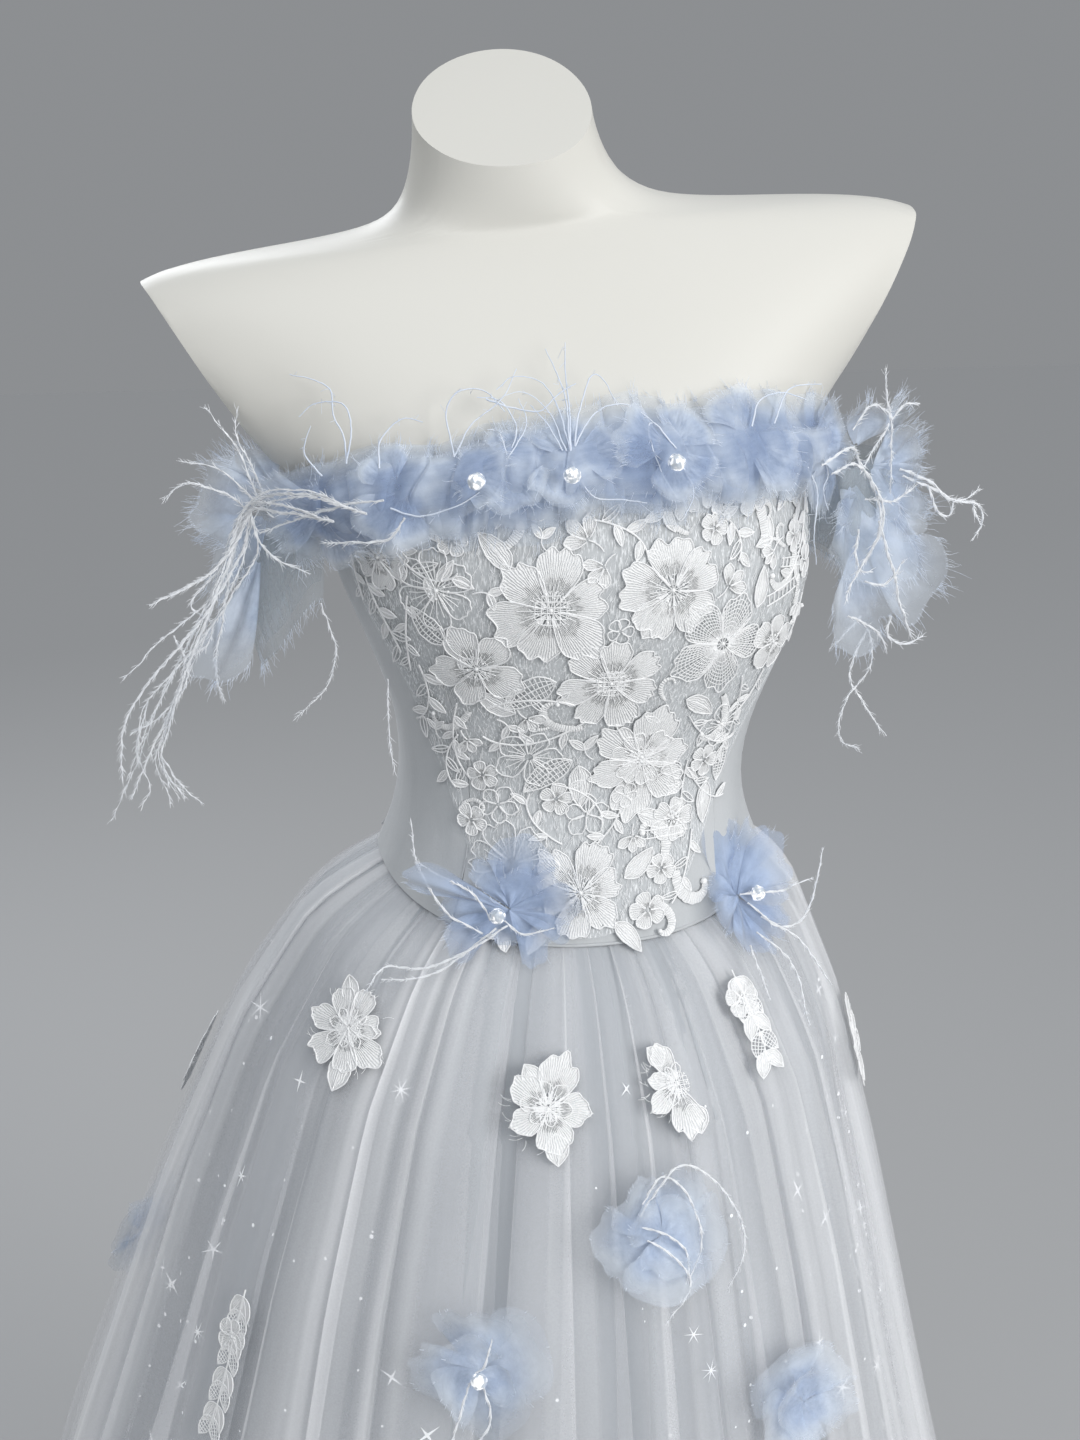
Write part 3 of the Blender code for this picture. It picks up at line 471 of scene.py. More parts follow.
def cloth_patches(name, patches, finish, replaces=(), closed=False):
    """An open cloth, or several, from grids. Each patch is its columns, its rows and its shape.

    A shape takes arrays from 0 to 1 across and up its grid, and gives points. The UV map keeps the shares.
    A closed cloth is a tube, whose first and last columns are joined.
    """
    bm = bmesh.new()
    across = bm.loops.layers.uv.new("cloth")
    for columns, rows, shape in patches:
        grid = bmesh.ops.create_grid(bm, x_segments=columns, y_segments=rows, size=0.5)["verts"]
        shares = np.array([vert.co for vert in grid])[:, :2] + 0.5
        for vert, point, share in zip(grid, shape(shares[:, 0], shares[:, 1]), shares):
            vert.co = point
            for loop in vert.link_loops:
                loop[across].uv = share
    if closed:
        bmesh.ops.remove_doubles(bm, verts=bm.verts, dist=1e-6)
    return piece_of(name, bm, finish, replaces)


def threads(name, lines, finish, replaces=(), fine=0):
    """Many cords or hairs as one curve: each line is its points and its radius, or its radii."""
    curve = bpy.data.curves.new(name, "CURVE")
    curve.dimensions = "3D"
    curve.bevel_depth = 1.0
    curve.bevel_resolution = fine
    curve.use_fill_caps = True
    for points, radius in lines:
        spline = curve.splines.new("POLY")
        spline.points.add(len(points) - 1)
        places = np.hstack([points, np.ones((len(points), 1))]).astype(np.float32)
        spline.points.foreach_set("co", places.ravel())
        spline.points.foreach_set("radius", np.broadcast_to(radius, len(points)).astype(np.float32))
        spline.use_smooth = True
    return dress_up(name, curve, finish, replaces, smooth=False)


def path(start, heading, length, bend=0.0, curl=0.0, steps=24):
    """A flat line that turns by bend degrees evenly, and by curl degrees more and more towards its end."""
    t = np.linspace(0.0, 1.0, steps)
    way = np.radians(heading + bend * t + curl * t ** 3)
    stride = length / (steps - 1)
    x = start[0] + np.concatenate([[0], np.cumsum(np.sin((way[1:] + way[:-1]) / 2))]) * stride
    y = start[1] + np.concatenate([[0], np.cumsum(np.cos((way[1:] + way[:-1]) / 2))]) * stride
    return np.stack([x, y], -1)


def at_rows(line, rows):
    """Points of a line at row numbers that needn't be whole."""
    return np.column_stack([np.interp(rows, np.arange(len(line)), column) for column in line.T])


def beside(line, distance):
    """A line at a distance to the right of another."""
    along = unit(np.gradient(line, axis=0))
    return line + np.stack([along[:, 1], -along[:, 0]], -1) * np.reshape(distance, (-1, 1))


class Lace:
    """Lace worked flat, in places along the cloth and up it. sew() puts it on a surface and makes its pieces.

    Stitched parts go in one mesh, whose UV map counts stitches across and runs from 0 to 1 along them.
    """

    STITCH = 0.0014         # from one stitch to the next
    CORD, FINE = 0.00045, 0.0003                # radii of an edge cord and of a thread inside it
    LARGE = 0.018           # petals longer than this have an open foot with loops across it
    START = 0.14            # where a petal starts, as a share of its length
    lengths = 0.9, 1.08     # the least and most of a flower's petals, against its size

    def __init__(self, seed):
        self.rng = np.random.default_rng(seed)
        self.fill = bmesh.new()
        self.stitches = self.fill.loops.layers.uv.new("stitches")
        self.lines = []

    def patch(self, columns, rows, shape, count, openness=1.0):
        """A stitched patch. shape(u, v) gives places for u and v from 0 to 1.

        count is its stitches side by side over u, or over v if it is negative.
        """
        grid = bmesh.ops.create_grid(self.fill, x_segments=columns, y_segments=rows, size=0.5)["verts"]
        shares = np.array([vert.co for vert in grid])[:, :2] + 0.5
        for vert, place, (u, v) in zip(grid, shape(shares[:, 0], shares[:, 1]), shares):
            vert.co = place
            for loop in vert.link_loops:
                loop[self.stitches].uv = ((u * count, 1.0 - (1.0 - v) * openness) if count > 0
                                          else (-v * count, 1.0))

    def cord(self, line, radius=CORD, out=CORD_OUT):
        """A cord laid along a line, a little unevenly."""
        line = np.asarray(line) + self.rng.normal(0, 0.00012, np.shape(line))
        if len(line) > 4:
            line[1:-1] = (line[:-2] + 2 * line[1:-1] + line[2:]) / 4
        self.lines.append((np.column_stack([line, np.full(len(line), out)]), radius))

    def knot(self, place, radius=0.0009):
        made = bmesh.ops.create_icosphere(self.fill, subdivisions=1, radius=radius,
                                          matrix=Matrix.Translation((*place, CORD_OUT)))["verts"]
        for vert in made:
            for loop in vert.link_loops:
                loop[self.stitches].uv = (0.5, 1.0)

    def petal(self, centre, heading, length, spread, tip, fill, side):
        """A fan-shaped petal with a corded edge. Its sides run straight out for a share of its length."""
        rng, start = self.rng, self.START
        lobes, phase = rng.uniform(0.08, 0.15), rng.uniform(0, 6)
        beat = rng.uniform(5.0, 8.5)
        large = length > self.LARGE
        teeth = 0.035 if large else 0.0
        sharp = {"round": 0.0, "point": 0.16, "notch": -0.13}[tip]

        def edge(u):
            ragged = lobes * (np.abs(np.cos(beat * u + phase)) - 0.5) + teeth * np.sin(2.6 * beat * u)
            return (side + (1 - side) * np.sqrt(np.clip(1 - np.abs(u) ** 3.2, 0, 1))
                    + sharp * np.exp(-(u / 0.22) ** 2) + ragged * (1 - u ** 2))

        def foot(u):
            return start + (0.22 if large else 0.0) * (0.55 + 0.45 * np.abs(np.cos(0.8 * beat * u + phase)))

        def place(u, reach):
            way = np.radians(heading + u * spread)
            reach = reach * length
            return np.stack([centre[0] + reach * np.sin(way), centre[1] + reach * np.cos(way)], -1)

        lift = rng.uniform(0, 0.0004)
        if fill == "stitch":
            def shape(u, v):
                u = u * 2 - 1
                reach = foot(u) + (edge(u) - foot(u)) * v
                out = FILL_OUT + lift + 0.0005 * np.sin(np.pi * v) * (1 - u ** 2) ** 0.5
                return np.column_stack([place(u, reach), out])
            stitches = round(2 * math.radians(spread) * length * 0.85 / self.STITCH)
            self.patch(15 if large else 9, 7, shape, stitches)
        elif fill == "lattice":
            for u in np.linspace(-0.8, 0.8, max(4, round(math.radians(spread) * length / 0.0013))):
                self.cord(place(np.full(9, u), np.linspace(start, edge(u) * 0.98, 9)), self.FINE)
            for share in np.arange(0.3, 0.95, 0.0026 / length):
                u = np.linspace(-0.97, 0.97, 11)
                self.cord(place(u, start + (edge(u) - start) * share), self.FINE)
        elif fill == "veins":
            for u in (-0.5, 0.0, 0.5):
                self.cord(place(u * np.linspace(0.6, 1, 8), np.linspace(start, edge(u) * 0.72, 8)), self.FINE)
        if fill == "stitch" and large:          # loops across the open foot
            spokes = np.linspace(-0.86, 0.86, 6) + rng.normal(0, 0.05, 6)
            for u in spokes:
                reach = np.linspace(start * 0.8, foot(u) + rng.uniform(0.06, 0.20), 4)
                self.cord(place(np.full(4, u), reach), 0.00028, CORD_OUT + lift)
            for left, right in zip(spokes, spokes[1:]):
                u, bow = np.linspace(left, right, 5), np.sin(np.linspace(0, np.pi, 5))
                self.cord(place(u, foot(u) + 0.02 - 0.10 * (1 - bow)), 0.00024, CORD_OUT + lift)
        u = np.linspace(-1, 1, max(13, round(length / 0.0011)))
        rim = place(u, edge(u))
        ends = [place(np.array([u0]), np.array([start]))[0] for u0 in (-1.0, 1.0)]
        sides = np.linspace(ends[0], rim[0], 4), np.linspace(rim[-1], ends[1], 4)
        self.cord(np.vstack([sides[0][:-1], rim, sides[1][1:]]), out=CORD_OUT + lift)

    def flower(self, place, size, petals, turn, tip, fill="stitch", heart="knots", squash=0.0, arc=360.0):
        """A flower of petals all round, or over an arc, with a heart of knots, or of lattice among knots."""
        rng = self.rng
        for k in range(petals):
            heading = turn + arc * k / petals + rng.normal(0, 2.5)
            length = size * rng.uniform(*self.lengths) * (1 + squash * math.cos(2 * math.radians(heading)))
            self.petal(place, heading, length, arc / petals / 2 * rng.uniform(0.98, 1.14),
                       tip if tip != "mixed" else ("round", "notch", "point")[k % 3], fill,
                       rng.uniform(0.42, 0.58))
        if heart == "open":
            return
        for k in range(petals * 2):
            way = math.radians(turn + 180 * k / petals)
            reach = size * (0.30 if k % 2 else 0.22)
            tip_place = (place[0] + reach * math.sin(way), place[1] + reach * math.cos(way))
            self.knot(tip_place)
            self.cord(np.linspace((place[0], place[1]), tip_place, 4), self.FINE)
        self.knot(place, 0.0013)
        if heart == "lattice":
            for offset in np.linspace(-0.26, 0.26, 6) * size:
                half = math.sqrt(max(0.0, (0.30 * size) ** 2 - offset ** 2))
                for ends in ([(-half, offset), (half, offset)], [(offset, -half), (offset, half)]):
                    self.cord(np.linspace(*ends, 6) + np.asarray(place), 0.00032, CORD_OUT + 0.0004)

    def leaf(self, start, heading, length, width, bend, fill="stitch", teeth=0.0, turns=3):
        """A pointed leaf along a bent midrib. teeth gives its edge that many steps in and out."""
        count = int(np.clip(round(length / 0.0018), 8, 15))
        rib = path(start, heading, length, bend, steps=count)
        share = np.linspace(0, 1, count)
        half = width / 2 * np.sin(np.pi * share ** 0.8) ** 0.75
        half = half * (1 + teeth * np.cos(2 * np.pi * turns * share))
        left, right = beside(rib, -half), beside(rib, half)
        if fill == "stitch":
            def shape(u, v):
                column = u * 2 - 1
                middle, to_left, to_right = (at_rows(line, v * (count - 1)) for line in (rib, left, right))
                side = np.where(column[:, None] < 0, to_left, to_right)
                flat = middle + (side - middle) * np.abs(column)[:, None]
                return np.column_stack([flat, FILL_OUT + 0.0005 * (1 - column ** 2)])
            self.patch(4, count - 3, shape, round(width / self.STITCH), 0.35)
        elif fill == "lattice":
            for k in range(1, count - 1):
                self.cord(np.linspace(left[k], right[k], 5), self.FINE)
            for side in (-0.5, 0.5):
                self.cord(beside(rib, half * side), self.FINE)
        self.cord(rib, 0.0004)
        self.cord(left)
        self.cord(right)

    def scroll(self, start, heading, length, bend, curl, width):
        """A thick satin-stitched band that tapers and curls in at its end, with a small knob there."""
        line = path(start, heading, length, bend, curl, 30)
        share = np.linspace(0, 1, 30)
        half = width * 0.4 * (0.35 + 0.65 * np.sin(np.pi * np.clip(share * 0.85 + 0.12, 0, 1)) ** 0.8)
        half = half * (1 + 0.16 * np.abs(np.sin(9 * np.pi * share)))

        def shape(u, v):
            left, right = (at_rows(beside(line, half * side), v * 29) for side in (-1, 1))
            places = left * (1 - u[:, None]) + right * u[:, None]
            return np.column_stack([places, FILL_OUT + 0.0006 * np.sin(np.pi * u)])
        self.patch(4, 29, shape, -round(length / self.STITCH))
        self.knot(line[-1], width * 0.26)

    def vine(self, start, heading, length, bend, curl, leaves, leaf=0.010):
        """A corded stem with small pointed leaves on alternate sides."""
        line = path(start, heading, length, bend, curl, max(12, round(length / 0.0022)))
        self.cord(line, 0.0006)
        for k in range(leaves):
            at = round((k + 0.7) / (leaves + 0.4) * (len(line) - 1))
            along = line[min(at + 1, len(line) - 1)] - line[at - 1]
            way = math.degrees(math.atan2(along[0], along[1])) + (42 if k % 2 else -42)
            self.leaf(line[at], way, leaf * self.rng.uniform(0.85, 1.15), leaf * 0.42,
                      20 if k % 2 else -20, self.rng.choice(["stitch", "stitch", "open"]))
        return line

    def ladder(self, start, heading, length, width, rungs):
        """Two rails with bars between them."""
        line = path(start, heading, length, steps=12)
        for side in (-0.5, 0.5):
            self.cord(beside(line, side * width), 0.0005)
        for k in range(rungs):
            at = line[0] + (line[-1] - line[0]) * (k + 0.5) / rungs
            rails = beside(np.array([at, at + (line[-1] - line[0]) * 0.01]), width / 2)[0]
            self.cord(np.linspace(rails, 2 * at - rails, 4), 0.00045)

    def sew(self, name, sewn, replaces=()):
        """The stitched piece and the corded one. sewn() gives points for places on the cloth."""
        mesh = mesh_of(name + "_stitches", self.fill)
        put(mesh, sewn(places_of(mesh)))
        stitched = dress_up(name + "_stitches", mesh, lace_stitch, replaces)
        ends = np.cumsum([0] + [len(places) for places, _ in self.lines])
        points = sewn(np.vstack([places for places, _ in self.lines]))
        cords = [(points[a:b], line[1]) for a, b, line in zip(ends, ends[1:], self.lines)]
        return stitched, threads(name + "_cords", cords, lace_cord)


LACE_WHITE, LACE_SHADE = (0.99, 0.99, 0.985), (0.80, 0.815, 0.825)
lace_stitch = Finish("lace_stitch", 0.75, Sheen_Weight=0.2, Sheen_Roughness=0.5, Specular_IOR_Level=0.25)
counts = lace_stitch.cloth.node("ShaderNodeSeparateXYZ", Vector=lace_stitch.cloth)
along_stitch = lace_stitch.cloth.node("ShaderNodeSeparateXYZ", output=1, Vector=lace_stitch.cloth)
wander = lace_stitch.noise(lace_stitch.place, 260.0, 2.0)
beat = counts * (2 * math.pi) + wander * 6.0
stitch_wave = beat.math("SINE", beat) * 0.5 + 0.5
strokes = lace_stitch.noise(lace_stitch.cloth, 1.6, 3.0, 0.65, (1.0, 7.0, 1.0))
# painted shade: the stitched lace is coloured darker between its stitches, where shade falls, and paler on the
# stitch tops
raised = (stitch_wave * 0.5 + strokes).between(0.35, 0.95)
lace_stitch.tint(raised, LACE_SHADE, LACE_WHITE)
lace_stitch.bump(stitch_wave * 0.6 + strokes, 0.0008, 0.8)
closed = along_stitch.between(0.15, 0.62) * 0.9
lace_stitch.feed("Alpha", (stitch_wave * 0.55 + strokes * 0.75 + closed).between(0.55, 0.80))

lace_cord = Finish("lace_cord", 0.7, Sheen_Weight=0.2, Sheen_Roughness=0.5, Specular_IOR_Level=0.25)
twist = lace_cord.noise(lace_cord.place, 900.0, 2.0)
lace_cord.tint(twist, (0.92, 0.925, 0.93), (0.99, 0.99, 0.99))
lace_cord.bump(twist, 0.0003, 0.6)

ground_net = Finish("lace_ground_net", 0.8, Specular_IOR_Level=0.2)
hairs = ground_net.noise(ground_net.place, 820.0, 2.0, 0.6, (1.0, 1.0, 0.22))
clouds = ground_net.noise(ground_net.place, 38.0, 3.0)
ground_net.tint(hairs, (0.74, 0.775, 0.80), (0.95, 0.96, 0.965))
ground_net.feed("Alpha", hairs.between(0.46, 0.72) * 0.50 + clouds * 0.24 + 0.26)


def ground_shape(u, v):
    share = u * 2 - 1
    low, high = 1.006 + 0.022 * np.abs(share) ** 2, 1.285 - 0.02 * np.abs(share)
    height = low + (high - low) * v
    return chest.sewn(np.column_stack([lace_across(share, height), height, np.full(len(u), GROUND_OUT)]))


lace_ground = cloth_patches("lace_ground", [(90, 80, ground_shape)], ground_net, ["lace_panel"])

fuzz_rng = np.random.default_rng(11)
FUZZ = 2000
share, height = fuzz_rng.uniform(-1, 1, FUZZ), fuzz_rng.uniform(1.012, 1.272, FUZZ)
height += 0.020 * np.abs(share) ** 3
slant, hair = fuzz_rng.normal(0, 0.32, FUZZ), fuzz_rng.uniform(0.004, 0.009, FUZZ)
across = lace_across(share, height)
hair_places = np.stack([np.column_stack([
    across + slant * hair * t + 0.0006 * math.sin(3 * t), height + hair * t,
    np.full(FUZZ, GROUND_OUT + 0.0004 + 0.0005 * math.sin(math.pi * t))]) for t in (0.0, 0.5, 1.0)], axis=1)
hair_points = chest.sewn(hair_places.reshape(-1, 3)).reshape(FUZZ, 3, 3)
fuzz = threads("lace_fuzz", [(points, 0.00011) for points in hair_points], lace_cord)

front_lace = Lace(5)
# The tables are in millimetres and degrees. Places are across the cloth from the front centre, and up.
for across, up, size, petals, turn, *looks in [
        (-30, 1214, 32, 6, 12, "mixed", "stitch", "lattice"), (36, 1222, 29, 5, -8, "notch"),
        (6, 1168, 28, 7, 4, "round", "stitch", "lattice"), (70, 1186, 27, 5, 25, "point", "lattice"),
        (-68, 1176, 24, 5, 40, "point"), (-92, 1222, 23, 6, 0, "round", "veins"),
        (30, 1112, 30, 6, 10, "point", "stitch", "knots", 0.12),
        (30, 1115, 19, 6, 40, "notch", "stitch", "lattice"), (-34, 1118, 17, 5, 20, "point", "veins", "open"),
        (-4, 1033, 27, 6, 18, "mixed", "stitch", "knots", 0.08),
        (-42, 1050, 27, 6, -20, "notch", "veins", "open"), (0, 1080, 12, 5, 0, "point", "open", "open"),
        (-50, 1085, 11, 5, 30, "point", "open", "open"), (52, 1072, 14, 5, 15, "notch"),
        (112, 1178, 18, 5, 10, "round"), (82, 1128, 14, 5, -15, "point", "veins"),
        (-128, 1236, 19, 5, 30, "notch")]:
    front_lace.flower((across / 1000, up / 1000), size / 1000, petals, turn, *looks)
for across, up, heading, length, bend, curl, width in [
        (96, 1232, 10, 64, -60, -150, 8.5), (128, 1250, 170, 60, 40, 150, 7.5),
        (78, 1150, 150, 45, 50, 150, 6.5), (46, 1046, 20, 40, -50, -160, 7.5),
        (54, 1040, 175, 38, -60, -150, 8.5), (-6, 1138, -100, 40, 60, 150, 6),
        (-70, 1146, 200, 36, 60, 120, 5.5), (136, 1214, 190, 42, -30, -140, 6.5),
        (40, 1024, 120, 30, 40, 160, 6), (-58, 1246, 60, 36, -50, -150, 6)]:
    front_lace.scroll((across / 1000, up / 1000), heading, length / 1000, bend, curl, width / 1000)
for across, up, heading, length, width, rungs in [
        (100, 1206, 80, 30, 6, 7), (34, 1064, 90, 26, 5, 6), (112, 1226, 100, 24, 5, 6)]:
    front_lace.ladder((across / 1000, up / 1000), heading, length / 1000, width / 1000, rungs)
for across, up, heading, length, bend, curl, leaves in [
        (-6, 1142, 230, 60, 40, 30, 3), (-60, 1150, 60, 50, 50, 0, 3), (12, 1140, 160, 30, -40, 0, 1),
        (-20, 1100, 100, 45, 50, 40, 3), (-78, 1150, 190, 55, -30, -30, 4), (56, 1140, 150, 50, -30, -60, 4),
        (90, 1160, 170, 60, 20, 40, 5), (62, 1100, 150, 40, -20, -50, 3), (-14, 1062, 300, 40, 30, 60, 3),
        (20, 1082, 200, 26, 30, 0, 2), (-110, 1216, 190, 50, -20, 0, 4), (110, 1160, 200, 35, 20, 30, 3),
        (66, 1062, 190, 44, 10, 20, 4), (-90, 1200, 160, 30, -30, -60, 2), (-148, 1250, 190, 45, -25, 0, 4),
        (146, 1200, 195, 30, 20, 0, 3)]:
    front_lace.vine((across / 1000, up / 1000), heading, length / 1000, bend, curl, leaves)
for across, up, heading, length, width, bend, kind in [
        (-24, 1170, 250, 34, 17, -35, "lattice"), (-44, 1148, 285, 26, 12, 30, "stitch"),
        (-6, 1112, 170, 28, 13, 10, "stitch"), (-10, 1116, 240, 34, 14, -20, "lattice"),
        (52, 1152, 110, 24, 11, 30, "stitch"), (20, 1196, 40, 26, 13, -20, "stitch"),
        (-86, 1190, 300, 30, 14, 25, "lattice"), (-52, 1236, 330, 26, 12, -20, "stitch"),
        (92, 1204, 20, 24, 10, -20, "stitch"), (30, 1078, 110, 22, 10, 20, "stitch"),
        (-20, 1040, 250, 24, 11, 20, "stitch"), (22, 1040, 60, 24, 11, -25, "stitch"),
        (16, 1014, 130, 22, 10, 20, "stitch"), (-22, 1016, 230, 22, 10, -20, "stitch"),
        (86, 1112, 180, 24, 11, 10, "lattice"), (76, 1090, 190, 26, 11, -10, "stitch")]:
    front_lace.leaf((across / 1000, up / 1000), heading, length / 1000, width / 1000, bend, kind, 0.10, 4)
for across, up, heading, length, bend, curl, leaves, leaf in [
        (-120, 1248, 150, 50, -50, -60, 6, 15), (-140, 1222, 165, 50, -40, 30, 6, 14),
        (-104, 1172, 150, 46, 40, 60, 5, 14), (-76, 1128, 215, 40, -50, -40, 5, 12),
        (150, 1262, 200, 60, 10, 40, 6, 13), (62, 1262, 120, 36, 40, 60, 5, 12),
        (-8, 1262, 100, 40, 30, 50, 5, 12), (60, 1108, 190, 42, -20, 30, 5, 12)]:
    front_lace.vine((across / 1000, up / 1000), heading, length / 1000, bend, curl, leaves, leaf / 1000)
sewn_down = np.vstack([places[:, :2] for places, _ in front_lace.lines])
SPRIG_TRIES, BARE, SPRIG = 1400, 0.0062, 0.011
for _ in range(SPRIG_TRIES):        # sprigs wherever the ground is still bare
    up = front_lace.rng.uniform(1.014, 1.276)
    spot = np.array([float(lace_across(front_lace.rng.uniform(-0.93, 0.93), up)), up])
    room = np.sqrt(((sewn_down - spot) ** 2).sum(axis=1).min())
    if room < BARE:
        continue
    before, way, kind = len(front_lace.lines), front_lace.rng.uniform(0, 360), front_lace.rng.integers(4)
    size = min(room * 1.15, SPRIG)
    if kind == 0:
        front_lace.flower(spot, size, 5, way, "round", "stitch" if size > 0.008 else "open", heart="open")
    elif kind == 1:
        front_lace.flower(spot, size * 1.2, 3, way, "point", heart="open", arc=150.0)
        front_lace.cord(path(spot, way + 200, size, 50, steps=6))
    elif kind == 2:
        for side in (-34, 34):
            front_lace.leaf(spot, way + side, size * 1.25, size * 0.55, side * 0.6, "stitch", 0.12)
        front_lace.cord(path(spot, way + 180, size, -60, steps=6))
    else:
        front_lace.scroll(spot - 0.5 * size, way, size * 2.4, 60, 160, size * 0.34)
    sewn_down = np.vstack([sewn_down, *(places[:, :2] for places, _ in front_lace.lines[before:])])
lace_stitches, lace_cords = front_lace.sew("front_lace", chest.sewn)


# ---------------------------------------------------------------- skirt
# Three gored layers gathered into the waist seam: an opaque satin lining, tulle with foil stars and dots on
# it, and a plain tulle over that. Each hangs free in its own pleats, fine at the waist and open at the hem.

WAIST_SHARE = 0.07      # how much of its full depth a pleat has at the waist


class Hung(Rounded):
    """A surface that hangs from an uneven edge: its levels run from 0 at that edge to 1 at the hem."""

    UP = -1.0

    def measure(self, points):
        apart = np.abs((turns_of(points) - self.angles[:, None] + 180) % 360 - 180)
        highest = np.array([points[row < 8, 2].max() for row in apart])
        apart[points[:, 2] < highest[:, None] - 0.006] = 360
        self.top = points[apart.argmin(axis=1), 2]
        for _ in range(4):
            self.top = (np.roll(self.top, 1) + 2 * self.top + np.roll(self.top, -1)) / 4
        self.bottom = points[:, 2].min()

    def height(self, angle, level):
        top = np.interp(angle, self.angles, self.top, period=360) - 0.001
        return top + (self.bottom - top) * level


class Pleats:
    """Knife pleats of uneven widths, lapped to the left or to the right, that wander as they fall."""

    pull = None
    gathers = 0.0           # height of the small gathers near the waist

    def __init__(self, form, count, seed, depth, lap, out=0.0, start=-180.0, span=360.0):
        """count pleats over a span of degrees, each with a depth, and a lap as a share of its width."""
        rng = np.random.default_rng(seed)
        self.form, self.count, self.out, self.start, self.span = form, count, out, start, span
        self.edges = np.concatenate([[0], np.cumsum(rng.lognormal(0, 0.55, count) + 0.20)])
        self.edges *= span / self.edges[-1]
        relative = np.sqrt(np.diff(self.edges) * count / span)
        self.hand = np.where(rng.random(count) < 0.62, 1, -1)
        self.lap = lap * rng.uniform(0.35, 1.25, count)
        self.depth = depth * rng.uniform(0.5, 1.25, count) * relative
        self.sway = rng.normal(0, 0.17 * span / count, (3, count + 1))
        self.beat = rng.uniform(0, 6, (2, count))
        self.sway[:, -1] = self.sway[:, 0]

    def opened(self, fall):
        """How far open the pleats are, from the waist to the hem."""
        return WAIST_SHARE + (1 - WAIST_SHARE) * fall ** 0.75

    def place(self, share, fall):
        """Points for shares of the way round, and of the way from the waist to the hem."""
        share, fall = np.broadcast_arrays(np.asarray(share, float), np.asarray(fall, float))
        along = np.clip(share, 0, 1 - 1e-9) * self.count
        fold = np.floor(along).astype(int)
        v = along - fold - 0.5
        v = np.where(share >= 1, 0.5, v)

        def edge(index):
            sway = self.sway[:, index]
            return self.edges[index] + fall * (sway[0] * np.sin(2.2 * fall) + sway[1] * np.cos(4.1 * fall)
                                               + 0.5 * sway[2] * np.sin(7.3 * fall))
        low, high = edge(fold), edge(fold + 1)
        live = 0.75 + 0.25 * np.sin(5.0 * fall + self.beat[0, fold])
        lap = self.lap[fold] * live * (0.55 + 0.45 * fall)
        depth = self.depth[fold] * self.opened(fall)
        depth = depth * (0.8 + 0.2 * np.sin(4.0 * fall + self.beat[1, fold]))
        hand, lean = self.hand[fold], 0.55
        angle = (low + high) / 2 + (high - low) * (v - lap * np.sin(2 * np.pi * v))
        wave = np.sin(2 * np.pi * v * hand + lean) + math.sin(lean)
        fine = 0.0036 * fall * (1 - fall) ** 2 * np.sin(2 * np.pi * v * 3)
        uneven = 0.45 + 0.55 * np.sin(self.beat[0, fold])
        fine = (fine + self.gathers * uneven * np.exp(-fall / 0.16)
                * np.sin(2 * np.pi * v * 3 + self.beat[1, fold]))
        points = self.form.point(self.start + angle, fall, self.out * fall - depth * wave + fine)
        if self.pull is not None:
            pull = np.interp(self.start + angle, self.form.angles, self.pull, period=360)
            inwards = 1 - pull * np.exp(-fall / 0.010) / np.hypot(points[..., 0] - AXIS, points[..., 1])
            points[..., 0] = AXIS + (points[..., 0] - AXIS) * inwards
            points[..., 1] *= inwards
        return points

    def gather_onto(self, inner, gap):
        """Draws the top edge in towards another surface, to stand a gap away from it."""
        angles = self.form.angles
        edge = self.form.on_axis(angles, 0.0)
        wall = inner.on_axis(angles, edge[:, 2] + 0.010)
        self.pull = np.hypot(edge[:, 0] - AXIS, edge[:, 1]) - np.hypot(wall[:, 0] - AXIS, wall[:, 1]) - gap

    def fall(self, v):
        """Rows lie closer towards the waist, where the skirt curves."""
        return (1 - v) ** 1.5

    def patch(self, per_fold, rows):
        return self.count * per_fold, rows, lambda u, v: self.place(u, self.fall(v))


def folded(made, pleats):
    """A second UV map: how edge-on the cloth lies at each place, and how thick its pleat seems."""
    mesh = made.data
    shares = np.empty(len(mesh.loops) * 2, np.float32)
    mesh.uv_layers["cloth"].data.foreach_get("uv", shares)
    u, v = shares.reshape(-1, 2).astype(float).T
    step = 0.05 / pleats.count
    here, there = (pleats.place(np.clip(u + side * step, 0, 1), pleats.fall(v)) for side in (-1, 1))
    turned_by = np.abs(turns_of(here) - turns_of(there))
    turned_by = np.minimum(turned_by, 360 - turned_by) * pleats.count / 36
    edge_on = np.exp(-(turned_by / 0.55) ** 2)
    tone = np.random.default_rng(pleats.count).uniform(0, 1, pleats.count)
    layers = tone[np.clip(u * pleats.count, 0, pleats.count - 1).astype(int)]
    fold_map = mesh.uv_layers.new(name="fold")
    fold_map.data.foreach_set("uv", np.column_stack([edge_on, layers]).astype(np.float32).ravel())
    mesh.uv_layers["cloth"].active_render = True


STREAKS = 84.0          # creases round the whole of a layer


